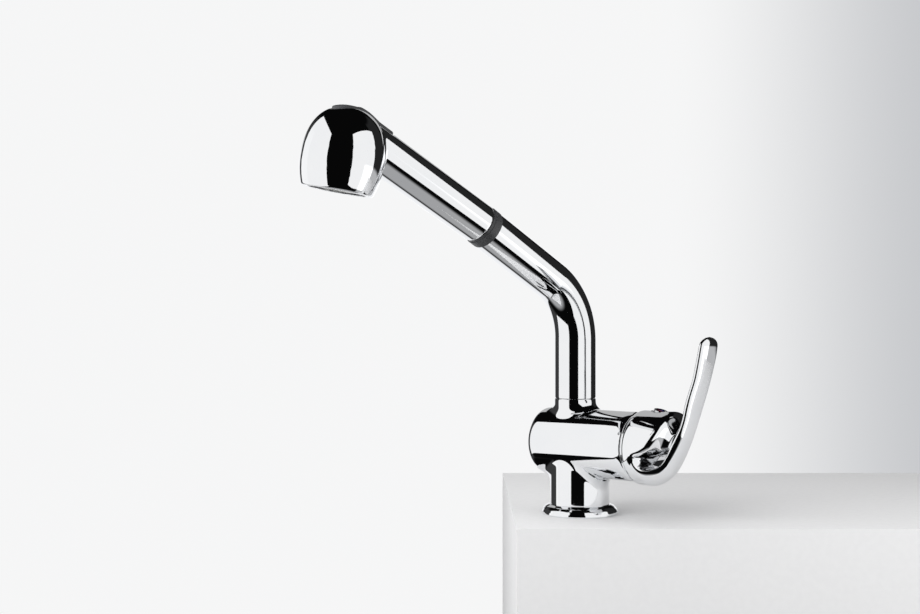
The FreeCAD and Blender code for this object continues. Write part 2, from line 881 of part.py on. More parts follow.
def stadium(grow, low, high):
    half = rocker_w / 2 + grow
    front = rocker_front + grow - half
    back = -rocker_back - grow + half
    block = Part.makeBox(front - back, 2 * half, high - low, Vector(back, -half, low))
    ends = [Part.makeCylinder(half, high - low, Vector(x, 0, low), Z) for x in (front, back)]
    return block.fuse(ends).removeSplitter()


def handset_shell():
    outer = head_form()
    inner = dome(-handset_wall, -1.0).fuse(handle_rod(handle_r - handset_wall, 6.0))
    shell = outer.cut(inner)
    window = stadium(rocker_gap, head_cross().z - 6, crown_h + 10)
    shell = shell.cut(window)
    shell = head_in_spout(shell)
    return rolled(shell.cut(behind_dock()))


def rocker_x():
    return (rocker_front - rocker_back) / 2


def rocker_pin_spot():
    top = head_cross().z + handle_r / math.cos(math.radians(handle_lean()))
    slope = math.tan(math.radians(handle_lean()))
    return Vector(rocker_x(), 0, top + rocker_x() * slope - rocker_pin_drop)


def rocker_pin(extra=0.0, reach=5.2):
    spot = rocker_pin_spot()
    return Part.makeCylinder(rocker_pin_r + extra, 2 * reach, spot - Y * reach, Y)


def rocker_solid():
    pad = head_form(rocker_proud, 0, 0).cut(head_form(-rocker_sink, -1, 4))
    pad = pad.common(stadium(0, head_cross().z - 8, crown_h + 10))
    spot = rocker_pin_spot()
    lug = Part.makeBox(5, 4, rocker_pin_drop - 0.3, spot - X * 2.5 - Y * 2)
    foot = Part.makeCylinder(2.5, 4, spot - Y * 2, Y)
    lug = lug.fuse(foot)
    pusher = rod(1.6, crown_h - rocker_pusher_drop, crown_h - 0.5, X * diverter_x)
    return pad.fuse([lug, pusher]).cut(rocker_pin(run_gap))


def rocker_carrier():
    deck = head_form(-handset_wall - 0.05, 0, 0).cut(head_form(-handset_wall - carrier_depth, -1, 4))
    bed = deck.common(stadium(2.6, head_cross().z - 4, crown_h + 5))
    room = head_form(0, 0, 0).cut(head_form(-rocker_sink - rocker_room, -1, 4))
    bed = bed.cut(room.common(stadium(rocker_gap + 0.15, head_cross().z - 8, crown_h + 5)))
    spot = rocker_pin_spot()
    bed = bed.cut(Part.makeBox(7, 4.6, 14, spot + Vector(-3.5, -2.3, -9)))
    bed = bed.cut(rod(2.2, crown_h - 14, crown_h + 2, X * diverter_x))
    return bed.cut(rocker_pin(0.0))


def face_ring():
    outer = rim_r - handset_wall
    ring = tube(outer - run_gap, outer - face_ring_w, 0.2, face_recess + face_t)
    return ring


def nozzle_spots():
    spots = []
    for count, radius in ((16, 15.6), (12, 12.6)):
        for k in range(count):
            turn = 2 * math.pi * (k + 0.5 * (count == 12)) / count
            spots.append(Vector(radius * math.cos(turn), radius * math.sin(turn), 0))
    return spots


def spray_face():
    outer = rim_r - handset_wall - face_ring_w - run_gap
    plate = tube(outer, aerator_r + run_gap, face_recess, face_recess + face_t)
    holes = [rod(nozzle_r + 0.1, face_recess - 1, face_recess + face_t + 1, p) for p in nozzle_spots()]
    return plate.cut(holes)


def nozzle_set():
    top = face_recess + face_t
    outer = rim_r - handset_wall - face_ring_w - 0.4
    sheet = tube(outer, aerator_r + 0.3, top, top + nozzle_sheet_t)
    tips = []
    for spot in nozzle_spots():
        cone = Part.makeCone(nozzle_r * 0.72, nozzle_r, face_t + nozzle_out, spot + Z * (face_recess - nozzle_out))
        tips.append(cone)
    return sheet.fuse(tips)


def aerator_low():
    return face_recess - aerator_out


def aerator_housing():
    low = aerator_low()
    high = low + aerator_h
    body = tube(aerator_r, aerator_r - 1.4, low, high)
    return body.fuse(tube(aerator_r - 1.4, 2.4, low + 3.4, low + 5.0))


def aerator_screen():
    low = aerator_low() + 2.2
    disc = rod(aerator_r - 1.45, low, low + 1.2)
    return disc


def chamber_low():
    return face_recess + face_t + nozzle_sheet_t + run_gap


def head_chamber():
    low = chamber_low()
    top = low + chamber_h
    body = rod(chamber_r, low, top)
    body = body.cut(rod(aerator_r + 0.1, low - 1, aerator_low() + aerator_h))
    body = body.cut(tube(chamber_r - 2, aerator_r + 2, low - 1, low + 5))
    body = body.fuse(rod(6.4, top - 1, top + 13, X * diverter_x))
    body = body.cut(rod(diverter_seal_r + 0.08, top - 3.0, top + 14, X * diverter_x))
    body = body.cut(rod(diverter_r + run_gap, low + 6, top, X * diverter_x))
    riser_top = head_cross() - handle_way() * riser_back
    body = body.fuse(rod(riser_r, top - 1, riser_top.z, X * riser_top.x))
    body = body.fuse(Part.makeCylinder(riser_r + 0.2, 9.0, riser_top - handle_way() * 8.0, handle_way()))
    start = riser_top - handle_way() * 9.0
    body = body.cut(Part.makeCylinder(water_r + run_gap, 6.0, start, handle_way()))
    body = body.cut(Part.makeCylinder(water_bore, 12.0, start, handle_way()))
    return body.cut(rod(water_bore, low + 8, riser_top.z, X * riser_top.x))


def diverter_spindle():
    high = crown_h - rocker_pusher_drop - 0.15
    return rod(diverter_r, chamber_low() + chamber_h - 1.0, high, X * diverter_x)


def diverter_seal():
    low = chamber_low() + chamber_h + 3.0
    return tube(diverter_seal_r, diverter_r, low, low + 2.4, X * diverter_x)


def on_handle(radius, low, high):
    start = head_cross() - handle_way() * handle_len
    return Part.makeCylinder(radius, high - low, start + handle_way() * low, handle_way())


def inlet_spigot():
    flange = dock_ring_end + handset_gap
    neck = rod(dock_bore - lip_gap, nose_end(), flange + 1.0)
    neck = on_dock(neck.fuse(rod(nose_r, nose_end() - nose_len, nose_end() + 0.5)))
    plug = on_handle(handle_r - handset_wall - run_gap, 0.6, inlet_plug_len)
    plug = head_in_spout(plug)
    through = on_dock(rod(seat_bore, nose_end() - nose_len - 1, flange + 3.0))
    room = on_dock(rod(valve_r + run_gap, nose_end() + 2, flange - 1.0))
    ahead = on_handle(water_bore, 2.0, inlet_plug_len + 1).fuse(on_handle(water_r + run_gap, inlet_plug_len - 6, inlet_plug_len + 1))
    body = neck.fuse(plug).cut([through, room, head_in_spout(ahead)])
    return rolled(body)


def water_tube():
    high = handle_len - riser_back - 3.0 - run_gap
    body = on_handle(water_r, inlet_plug_len - 6 + run_gap, high)
    return body.cut(on_handle(water_bore, 0, high + 1))


def check_valve():
    low = nose_end() + 2 + run_gap
    body = tube(valve_r, 3.2, low, low + valve_h)
    return body.fuse(tube(3.3, 1.4, low + 2.5, low + 4.0))


def main():
    os.makedirs("parts", exist_ok=True)
    save(mixer_body(), "mixer_body")
    save(base_ring(), "base_ring")
    save(gasket(), "base_gasket")
    save(shank(), "mounting_shank")
    rubber, steel, nut = clamp_stack()
    save(rubber, "clamp_washer")
    save(steel, "steel_washer")
    save(nut, "mounting_nut")
    save(swivel_washer(), "swivel_washer")
    save(spout_grub_screw(), "spout_grub_screw")
    save(cartridge_base(), "cartridge_base")
    save(cartridge_seals(), "cartridge_seals")
    save(cartridge_housing(), "cartridge_housing")
    save(fixed_disc(), "fixed_disc")
    save(moving_disc(), "moving_disc")
    save(disc_carrier(), "disc_carrier")
    save(cartridge_nut(), "cartridge_nut")
    save(cartridge_cover(), "cartridge_cover")
    save(cartridge_driver(), "cartridge_driver")
    save(spindle_pin_rod(), "spindle_pin")
    save(spindle(), "cartridge_spindle")
    save(lever(), "lever_handle")
    save(index_plug(), "index_plug")
    save(lever_set_screw(), "lever_set_screw")
    save(spout_tube(), "spout_tube")
    save(spout_spigot(), "spout_spigot")
    save(spigot_o_rings(), "spigot_o_rings")
    save(slip_ring(), "slip_ring")
    save(dock_bush(), "dock_bush")
    save(hose_nut(), "hose_nut")
    save(hose_seal(), "hose_seal")
    save(ferrule(), "hose_ferrule")
    save(hose(), "pullout_hose")
    save(handset_shell(), "handset_shell")
    save(inlet_spigot(), "inlet_spigot")
    save(head_placed(water_tube()), "water_tube")
    save(dock_placed(check_valve()), "check_valve")
    save(head_placed(rocker_solid()), "selector_rocker")
    save(head_placed(rocker_carrier()), "rocker_carrier")
    save(head_placed(rocker_pin()), "rocker_pin")
    save(head_placed(face_ring()), "face_ring")
    save(head_placed(spray_face()), "spray_face")
    save(head_placed(nozzle_set()), "nozzle_set")
    save(head_placed(aerator_housing()), "aerator_housing")
    save(head_placed(aerator_screen()), "aerator_screen")
    save(head_placed(head_chamber()), "head_chamber")
    save(head_placed(diverter_spindle()), "diverter_spindle")
    save(head_placed(diverter_seal()), "diverter_seal")


main()
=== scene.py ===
import json
import math

import bmesh
import bpy
import numpy as np
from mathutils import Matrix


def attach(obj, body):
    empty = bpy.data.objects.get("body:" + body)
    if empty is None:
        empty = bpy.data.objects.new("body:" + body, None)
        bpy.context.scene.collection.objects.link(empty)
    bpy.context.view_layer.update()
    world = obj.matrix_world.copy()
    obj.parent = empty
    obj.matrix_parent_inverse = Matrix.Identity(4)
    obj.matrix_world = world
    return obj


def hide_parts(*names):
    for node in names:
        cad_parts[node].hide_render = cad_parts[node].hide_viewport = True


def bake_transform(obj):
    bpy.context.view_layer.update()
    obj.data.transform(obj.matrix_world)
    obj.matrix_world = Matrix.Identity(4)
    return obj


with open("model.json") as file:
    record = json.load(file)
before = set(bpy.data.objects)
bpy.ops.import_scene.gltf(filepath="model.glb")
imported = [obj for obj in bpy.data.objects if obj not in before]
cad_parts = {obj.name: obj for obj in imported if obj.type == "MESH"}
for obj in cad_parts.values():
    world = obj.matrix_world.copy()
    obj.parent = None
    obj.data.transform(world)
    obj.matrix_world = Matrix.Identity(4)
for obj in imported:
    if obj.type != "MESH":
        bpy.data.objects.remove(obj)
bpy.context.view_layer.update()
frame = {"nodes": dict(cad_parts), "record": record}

import openvdb as vdb
from mathutils import Matrix, Vector

mm = 0.001

# camera first, at the photograph's viewing angle

view = dict(spot=(0.58868, -0.77448, 0.1393), turn=42.0, lens=56.23)


def makeCamera():
    data = bpy.data.cameras.new("viewCamera")
    data.lens = view["lens"]
    data.sensor_width = 36.0
    data.clip_start = 0.02
    data.clip_end = 20.0
    camera = bpy.data.objects.new("viewCamera", data)
    camera.location = view["spot"]
    camera.rotation_euler = (math.radians(90), 0, math.radians(view["turn"]))
    bpy.context.scene.collection.objects.link(camera)
    bpy.context.scene.camera = camera


makeCamera()
print("camera set")


# shader maths: a wrapped socket that adds its own nodes

class Wire:
    def __init__(self, shop, socket):
        self.shop = shop
        self.socket = socket

    def maths(self, operation, *others):
        return self.shop.node("ShaderNodeMath", dict(operation=operation), [self, *others])

    def __add__(self, other):
        return self.maths("ADD", other)

    def __sub__(self, other):
        return self.maths("SUBTRACT", other)

    def __rsub__(self, other):
        return self.shop.node("ShaderNodeMath", dict(operation="SUBTRACT"), [other, self])

    def __mul__(self, other):
        return self.maths("MULTIPLY", other)

    def __truediv__(self, other):
        return self.maths("DIVIDE", other)

    __radd__ = __add__
    __rmul__ = __mul__


class Shop:
    def __init__(self, tree):
        self.tree = tree
        tree.nodes.clear()

    def node(self, kind, settings=None, inputs=None, out=0):
        made = self.tree.nodes.new(kind)
        for key, value in (settings or {}).items():
            setattr(made, key, value)
        pairs = inputs.items() if isinstance(inputs, dict) else enumerate(inputs or [])
        for key, value in pairs:
            socket = made.inputs[key]
            if isinstance(value, Wire):
                self.tree.links.new(value.socket, socket)
            elif value is not None:
                if socket.type == "RGBA" and len(value) == 3:
                    value = (*value, 1.0)
                socket.default_value = value
        self.last = made
        return Wire(self, made.outputs[out]) if made.outputs else None

    def noise(self, where, scale, detail=3.0, rough=0.5):
        inputs = dict(Vector=where, Scale=scale, Detail=detail, Roughness=rough)
        return self.node("ShaderNodeTexNoise", {}, inputs)

    def soft(self, value, low, high, first=0.0, last=1.0):
        inputs = {"Value": value, "From Min": low, "From Max": high, "To Min": first, "To Max": last}
        return self.node("ShaderNodeMapRange", dict(interpolation_type="SMOOTHSTEP"), inputs)

    def mix(self, factor, first, last):
        return self.node("ShaderNodeMix", dict(data_type="RGBA"), {0: factor, 6: first, 7: last}, 2)

    def bump(self, height, strength, distance):
        return self.node("ShaderNodeBump", {}, dict(Strength=strength, Distance=distance, Height=height))

    def place(self, out=3):
        return self.node("ShaderNodeTexCoord", {}, {}, out)

    def split(self, where):
        self.node("ShaderNodeSeparateXYZ", {}, [where])
        return [Wire(self, self.last.outputs[k]) for k in range(3)]

    def stretched(self, where, scale, turn=(0, 0, 0)):
        return self.node("ShaderNodeMapping", {}, dict(Vector=where, Scale=scale, Rotation=turn))


def material(name, paint, **fixed):
    made = bpy.data.materials.new(name)
    made.use_nodes = True
    shop = Shop(made.node_tree)
    surface = paint(shop) or {}
    inputs = {key.replace("_", " "): value for key, value in fixed.items()}
    inputs.update(surface)
    shader = shop.node("ShaderNodeBsdfPrincipled", {}, inputs)
    shop.node("ShaderNodeOutputMaterial", {}, dict(Surface=shader))
    return made


# finishes

def paintChrome(shop):
    where = shop.place()
    haze = shop.noise(where, 38.0, 4.0)
    fine = shop.noise(where, 900.0, 2.0)
    polish = shop.noise(shop.stretched(where, (1.0, 1.0, 6.0)), 160.0, 3.0)
    rough = shop.soft(haze, 0.35, 0.75, 0.022, 0.05) + polish * 0.012
    tint = shop.mix(shop.soft(haze, 0.3, 0.7), (0.865, 0.872, 0.882), (0.845, 0.856, 0.872))
    return {"Base Color": tint, "Roughness": rough, "Normal": shop.bump(fine, 0.012, 0.00002)}


def paintLeverChrome(shop):  # the nook under the blade is out of the polishing wheel's reach
    surface = paintChrome(shop)
    satin = shop.node("ShaderNodeAttribute", dict(attribute_name="satin"), {})
    surface["Roughness"] = surface["Roughness"] + satin * 0.2
    return surface


def paintBrass(shop):
    where = shop.place()
    turned = shop.noise(shop.stretched(where, (3.0, 3.0, 900.0)), 4.0, 3.0)
    stain = shop.noise(where, 55.0, 4.0)
    tint = shop.mix(shop.soft(stain, 0.35, 0.7), (0.74, 0.56, 0.29), (0.60, 0.42, 0.19))
    rough = shop.soft(stain, 0.3, 0.75, 0.2, 0.38) + turned * 0.06
    return {"Base Color": tint, "Roughness": rough, "Normal": shop.bump(turned, 0.2, 0.00008)}


def paintSteel(shop):
    where = shop.place()
    lines = shop.noise(shop.stretched(where, (1400.0, 60.0, 60.0)), 1.0, 4.0)
    cloud = shop.noise(where, 70.0, 3.0)
    tint = shop.mix(shop.soft(cloud, 0.3, 0.7), (0.60, 0.605, 0.61), (0.50, 0.505, 0.515))
    rough = shop.soft(lines, 0.3, 0.7, 0.24, 0.42)
    return {"Base Color": tint, "Roughness": rough, "Normal": shop.bump(lines, 0.15, 0.00005)}


def paintRubber(shop):
    where = shop.place()
    grain = shop.noise(where, 2600.0, 3.0)
    bloom = shop.noise(where, 90.0, 4.0)
    tint = shop.mix(shop.soft(bloom, 0.4, 0.8), (0.035, 0.035, 0.038), (0.075, 0.075, 0.08))
    rough = shop.soft(bloom, 0.3, 0.7, 0.62, 0.8)
    return {"Base Color": tint, "Roughness": rough, "Normal": shop.bump(grain, 0.35, 0.0001)}


def paintDarkPlastic(shop):
    where = shop.place()
    grain = shop.node("ShaderNodeTexVoronoi", {}, dict(Vector=where, Scale=2400.0))
    cloud = shop.noise(where, 120.0, 3.0)
    tint = shop.mix(shop.soft(cloud, 0.35, 0.7), (0.040, 0.041, 0.044), (0.062, 0.063, 0.067))
    rough = shop.soft(cloud, 0.3, 0.7, 0.34, 0.46)
    return {"Base Color": tint, "Roughness": rough, "Normal": shop.bump(grain, 0.22, 0.00008)}


def paintInnerPlastic(shop):
    where = shop.place()
    flow = shop.noise(shop.stretched(where, (1.0, 1.0, 5.0)), 60.0, 3.0)
    grain = shop.noise(where, 1800.0, 2.0)
    tint = shop.mix(shop.soft(flow, 0.35, 0.7), (0.74, 0.74, 0.71), (0.66, 0.665, 0.65))
    return {"Base Color": tint, "Roughness": shop.soft(flow, 0.3, 0.7, 0.38, 0.5),
            "Normal": shop.bump(grain, 0.15, 0.00005)}


def paintCeramic(shop):
    where = shop.place()
    specks = shop.noise(where, 1500.0, 4.0)
    cloud = shop.noise(where, 150.0, 2.0)
    tint = shop.mix(shop.soft(specks, 0.45, 0.65), (0.88, 0.86, 0.82), (0.80, 0.78, 0.73))
    return {"Base Color": tint, "Roughness": shop.soft(cloud, 0.3, 0.7, 0.1, 0.2)}


def paintNozzles(shop):
    where = shop.place()
    grain = shop.noise(where, 2200.0, 3.0)
    scale = shop.noise(where, 420.0, 4.0)
    tint = shop.mix(shop.soft(scale, 0.5, 0.75), (0.12, 0.12, 0.13), (0.21, 0.21, 0.22))
    return {"Base Color": tint, "Roughness": shop.soft(scale, 0.3, 0.7, 0.5, 0.68),
            "Normal": shop.bump(grain, 0.25, 0.00008)}


def paintScreen(shop):
    where = shop.place()
    drawn = shop.noise(where, 700.0, 3.0)
    tint = shop.mix(shop.soft(drawn, 0.35, 0.7), (0.60, 0.605, 0.61), (0.42, 0.425, 0.43))
    return {"Base Color": tint, "Roughness": shop.soft(drawn, 0.3, 0.7, 0.22, 0.36)}


def paintIndex(shop):
    where = shop.place()
    x, y = shop.split(where)[:2]
    along = (x - 0.0655) / math.cos(math.radians(15))
    off = (along * along + y * y).maths("SQRT")
    halves = shop.mix(shop.soft(y, -0.0002, 0.0002), (0.22, 0.02, 0.025), (0.02, 0.04, 0.20))
    split = shop.soft(y.maths("ABSOLUTE"), 0.00015, 0.0003)
    eye = shop.mix(split, (0.03, 0.03, 0.033), halves)
    haze = shop.noise(where, 400.0, 3.0)
    ring = shop.mix(shop.soft(haze, 0.3, 0.7), (0.66, 0.67, 0.68), (0.56, 0.57, 0.585))
    tint = shop.mix(shop.soft(off, 0.0019, 0.0021), eye, ring)
    metal = shop.soft(off, 0.0019, 0.0021, 0.0, 1.0)
    return {"Base Color": tint, "Metallic": metal, "Roughness": shop.soft(haze, 0.3, 0.7, 0.06, 0.14)}


def paintHose(shop):
    where = shop.place()
    bands = dict(wave_type="BANDS", bands_direction="DIAGONAL")
    one, other = [shop.node("ShaderNodeTexWave", bands, dict(Vector=way, Scale=260.0, Distortion=0.4))
                  for way in (where, shop.stretched(where, (-1.0, -1.0, 1.0)))]
    weave = one.maths("MAXIMUM", other)
    tint = shop.mix(shop.soft(weave, 0.2, 0.9), (0.12, 0.12, 0.13), (0.36, 0.365, 0.375))
    return {"Base Color": tint, "Roughness": shop.soft(weave, 0.2, 0.9, 0.6, 0.42),
            "Normal": shop.bump(weave, 0.6, 0.0003)}


finishes = {
    "chrome": material("chromePlate", paintChrome, Metallic=1.0),
    "brass": material("turnedBrass", paintBrass, Metallic=1.0),
    "steel": material("drawnSteel", paintSteel, Metallic=1.0),
    "rubber": material("sealRubber", paintRubber),
    "dark_plastic": material("darkGrainPlastic", paintDarkPlastic),
    "inner_plastic": material("mouldedAcetal", paintInnerPlastic),
    "ceramic": material("lappedCeramic", paintCeramic),
    "nozzle_rubber": material("nozzleRubber", paintNozzles),
    "screen": material("wireScreen", paintScreen, Metallic=1.0),
    "index_mark": material("hotColdIndex", paintIndex, Coat_Weight=0.6, Coat_Roughness=0.05),
    "hose": material("braidedHose", paintHose),
}
slotOf = {row["node"]: row["material_slot"] for row in frame["record"]["subparts"]}
bodyOf = {node: body for body, nodes in frame["record"]["behaviour"]["bodies"].items() for node in nodes}
for name, node in frame["nodes"].items():
    node.data.materials.clear()
    node.data.materials.append(finishes[slotOf[name]])
print("finishes made")


# placing pieces: the spout's and the handset's own frames, as in the part's source

spoutFrame = dict(x=-3.8, angle=-97.0, rise=28.9, kneeZ=144.4, bendR=45.0,
                  lowR=14.0, topR=13.15, wall=1.5, bottom=78.6, tubeEnd=91.7, ringEnd=99.3)
headFrame = dict(droop=2.0, roll=-8.0, tilt=7.5, handleLen=116.0, handleR=13.05,
                 crossZ=38.1, wall=2.0, gap=0.15)


def turnAbout(spot, axis, degrees):
    there = Matrix.Translation(Vector(spot))
    return there @ Matrix.Rotation(math.radians(degrees), 4, Vector(axis)) @ there.inverted()


def spoutPlace():
    turn = Matrix.Rotation(math.radians(spoutFrame["angle"]), 4, "Z")
    return Matrix.Translation((spoutFrame["x"], 0, 0)) @ turn


def dockWay():
    rise = math.radians(spoutFrame["rise"])
    return Vector((math.cos(rise), 0, math.sin(rise)))


def alongDock(distance):
    return Vector((0, 0, spoutFrame["kneeZ"])) + dockWay() * distance


def onDock(distance=0.0):
    turn = Matrix.Rotation(math.radians(90 - spoutFrame["rise"]), 4, "Y")
    return spoutPlace() @ Matrix.Translation(alongDock(distance)) @ turn


def headPlace():
    rise = math.radians(spoutFrame["rise"] - headFrame["droop"])
    way = Vector((math.cos(rise), 0, math.sin(rise)))
    cross = alongDock(spoutFrame["ringEnd"]) + way * headFrame["handleLen"]
    lean = math.radians(headFrame["tilt"])
    up = Vector((-math.sin(lean), 0, math.cos(lean)))
    inSpout = Matrix.Translation(cross - up * headFrame["crossZ"])
    inSpout = inSpout @ Matrix.Rotation(math.radians(-headFrame["tilt"]), 4, "Y")
    return spoutPlace() @ turnAbout(alongDock(0), dockWay(), headFrame["roll"]) @ inSpout


def finishPiece(thing, node):
    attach(thing, bodyOf[node])
    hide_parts(node)
    if not thing.data.materials:
        thing.data.materials.append(finishes[slotOf[node]])


def newObject(name, data):
    thing = bpy.data.objects.new(name, data)
    bpy.context.scene.collection.objects.link(thing)
    return thing


def smoothed(mesh, crease):
    mesh.polygons.foreach_set("use_smooth", [True] * len(mesh.polygons))
    mesh.set_sharp_from_angle(angle=math.radians(crease))


def shellObject(name, spots, normals, faces, place):  # from millimetres, with its own exact normals
    if place is not None:
        turn = np.array(place.to_3x3())
        spots = spots @ turn.T + np.array(place.translation)
        normals = normals @ turn.T
    mesh = bpy.data.meshes.new(name)
    mesh.from_pydata((spots * mm).tolist(), [], faces)
    mesh.polygons.foreach_set("use_smooth", [True] * len(mesh.polygons))
    mesh.update()
    mesh.normals_split_custom_set_from_vertices(normals.tolist())
    return newObject(name, mesh)


# solids from distance fields, in millimetres

def roundJoin(a, b, r):
    u = np.maximum(r - a, 0)
    v = np.maximum(r - b, 0)
    return np.maximum(r, np.minimum(a, b)) - np.hypot(u, v)


def roundMeet(a, b, r):
    return -roundJoin(-a, -b, r)


def roundCut(a, b, r):
    return roundMeet(a, -b, r)


def rollingJoin(a, b, facing, r):  # fillet of a ball of radius r, facing = cosine between the two normals
    facing = np.clip(facing, -0.98, 0.98)
    u = r - a
    v = r - b
    between = (u > facing * v) & (v > facing * u) & (u > 0) & (v > 0)
    reach = np.sqrt(np.maximum(u * u + v * v - 2 * facing * u * v, 0) / (1 - facing ** 2))
    return np.where(between, r - reach, np.minimum(a, b))


def superDistance(u, v, uSize, vSize, power):  # distance from a superellipse, near it
    a = np.maximum(u, 0) / uSize
    b = np.maximum(v, 0) / vSize
    g = np.maximum((a ** power + b ** power) ** (1 / power), 1e-6)
    steep = np.hypot((a / g) ** (power - 1) / uSize, (b / g) ** (power - 1) / vSize)
    return (g - 1) / np.maximum(steep, 1e-6)


def softened(values, times):
    for _ in range(times):
        for axis in range(3):
            ahead = np.roll(values, 1, axis)
            behind = np.roll(values, -1, axis)
            values = 0.5 * values + 0.25 * (ahead + behind)
    return values


def sample(values, spots):
    low = np.clip(np.floor(spots).astype(int), 0, np.array(values.shape[:3]) - 2)
    part = spots - low
    total = 0
    for dx in (0, 1):
        for dy in (0, 1):
            for dz in (0, 1):
                share = (part[:, 0] if dx else 1 - part[:, 0]) * (part[:, 1] if dy else 1 - part[:, 1])
                share = share * (part[:, 2] if dz else 1 - part[:, 2])
                picked = values[low[:, 0] + dx, low[:, 1] + dy, low[:, 2] + dz]
                total = total + (picked * share[:, None] if picked.ndim == 2 else picked * share)
    return total


def fieldSolid(name, field, low, high, step, soften=1, place=None, calm=None):
    axes = [np.arange(a, b + step, step, dtype=np.float32) for a, b in zip(low, high)]
    x, y, z = np.meshgrid(*axes, indexing="ij", sparse=True)
    values = np.broadcast_to(field(x, y, z), [len(a) for a in axes])
    values = softened(np.clip(values / step, -4, 4).astype(np.float32), soften)
    if calm:
        share = calm(x, y, z)
        values = values * (1 - share) + softened(values, 6) * share
    values[[0, -1]] = 4
    values[:, [0, -1]] = 4
    values[:, :, [0, -1]] = 4
    grid = vdb.FloatGrid(4.0)
    grid.copyFromArray(values)
    spots, quads = grid.convertToQuads(isovalue=0.0)
    slopes = np.stack(np.gradient(values), -1)
    for _ in range(3):
        slope = sample(slopes, spots)
        away = sample(values, spots) / np.maximum((slope ** 2).sum(1), 0.15)
        spots = spots - np.clip(away, -0.5, 0.5)[:, None] * slope
    normals = sample(slopes, spots)
    normals /= np.maximum(np.linalg.norm(normals, axis=1), 1e-9)[:, None]
    print(name, len(quads), "faces")
    return shellObject(name, spots * step + np.array(low), normals, quads.tolist(), place)


# lathe work: a closed outline with rounded corners, turned about Z

def roundedOutline(corners, steps=5):  # a corner is its radius, height and rounding
    spots = []
    count = len(corners)
    for k in range(count):
        before = np.array(corners[k - 1][:2])
        here = np.array(corners[k][:2])
        after = np.array(corners[(k + 1) % count][:2])
        r = corners[k][2]
        inWay = (here - before) / np.linalg.norm(here - before)
        outWay = (after - here) / np.linalg.norm(after - here)
        turn = inWay[0] * outWay[1] - inWay[1] * outWay[0]
        normalIn = np.array((inWay[1], -inWay[0]))
        normalOut = np.array((outWay[1], -outWay[0]))
        if r <= 0 or abs(turn) < 1e-6:
            spots += [(here, normalIn), (here, normalOut)]
            continue
        angle = math.acos(np.clip(inWay @ outWay, -1, 1))
        back = r * math.tan(angle / 2)
        centre = here - inWay * back - normalIn * r * math.copysign(1, turn)
        for n in range(steps + 1):
            share = n / steps
            normal = normalIn * math.sin((1 - share) * angle) + normalOut * math.sin(share * angle)
            normal /= math.sin(angle)
            spots.append((centre + normal * r * math.copysign(1, turn), normal))
    return spots


def latheMesh(name, corners, around=144, steps=5, place=None):
    outline = roundedOutline(corners, steps)
    count = len(outline)
    verts, normals, faces = [], [], []
    for k in range(around):
        turn = 2 * math.pi * k / around
        c, s = math.cos(turn), math.sin(turn)
        for (r, z), (nr, nz) in outline:
            verts.append((r * c, r * s, z))
            normals.append((nr * c, nr * s, nz))
    for k in range(around):
        a, b = k * count, (k + 1) % around * count
        for n in range(count):
            m = (n + 1) % count
            if np.linalg.norm(np.array(outline[n][0]) - np.array(outline[m][0])) > 1e-6:
                faces.append((a + n, b + n, b + m, a + m))
    return shellObject(name, np.array(verts), np.array(normals), faces, place)


# mixer body: a domed barrel with a rolled joint to its neck and collar

body = dict(barrelR=22.85, barrelZ=48.1, domeStart=22.0, domeLen=9.5, domePower=3.0,
            ballX=43.5, end=49.0, neckR=20.0, neckLow=5.8, neckFillet=8.0,
            collarR=14.2, collarX=-3.8, collarTop=78.0, collarFillet=7.5, step=0.6,
            footR=19.4, footLow=0.8, screwZ=74.5, screwR=2.45, screwY=10.2)
uprightBores = [  # radius, from, to, x, y: shank, water way, spigot, two inlets, outlet
    (16.05, -1, 12, 0, 0), (7.2, 0, 60, -3.8, 0), (11.25, 57.8, 90, -3.8, 0),
    (3.6, 11, 22, 4.6, 8.8), (3.6, 11, 22, 4.6, -8.8), (3.6, 11, 22, 9.6, 0)]
levelBores = [(17.5, 17.0, 41.1), (19.95, 41.0, 60)]  # radius, from, to: cartridge, its nut


def rodZ(x, y, z, r, low, high, cx=0.0, cy=0.0):
    return np.maximum(np.hypot(x - cx, y - cy) - r, np.maximum(low - z, z - high))


def rodX(x, y, z, r, low, high, cy=0.0, cz=0.0):
    return np.maximum(np.hypot(y - cy, z - cz) - r, np.maximum(low - x, x - high))


def bodyField(x, y, z):
    b = body
    up = z - b["barrelZ"]
    rho = np.maximum(np.hypot(y, up), 1e-3)
    barrel = superDistance(-b["domeStart"] - x, rho, b["domeLen"], b["barrelR"], b["domePower"])
    ball = np.sqrt(np.maximum(x - b["ballX"], 0) ** 2 + rho ** 2) - b["barrelR"]
    barrel = np.where(x > b["ballX"], ball, barrel)
    barrel = roundMeet(barrel, x - b["end"], 0.25)
    collarRho = np.maximum(np.hypot(x - b["collarX"], y), 1e-3)
    collar = collarRho - b["collarR"]
    collarFacing = y ** 2 / (rho * collarRho)
    collar = np.where(z > b["barrelZ"] + 8, collar, 30.0)
    joined = rollingJoin(barrel, collar, collarFacing, b["collarFillet"])
    neckRho = np.maximum(np.hypot(x, y), 1e-3)
    neck = np.where(z < b["barrelZ"] - 6, neckRho - b["neckR"], 30.0)
    joined = rollingJoin(joined, neck, y ** 2 / (rho * neckRho), b["neckFillet"])
    solid = np.maximum(joined, np.maximum(b["neckLow"] - z, z - b["collarTop"]))
    foot = rodZ(x, y, z, b["footR"], b["footLow"], b["neckLow"] + 1)
    solid = np.minimum(solid, foot)
    cuts = [rodZ(x, y, z, *bore) for bore in uprightBores]
    cuts += [rodX(x, y, z, *bore, 0, b["barrelZ"]) for bore in levelBores]
    hole = np.maximum(np.hypot(x - b["collarX"], z - b["screwZ"]) - b["screwR"], b["screwY"] - y)
    cuts.append(np.where(y < 20, hole, 30.0))
    for cut in cuts:
        solid = np.maximum(solid, -cut)
    return solid


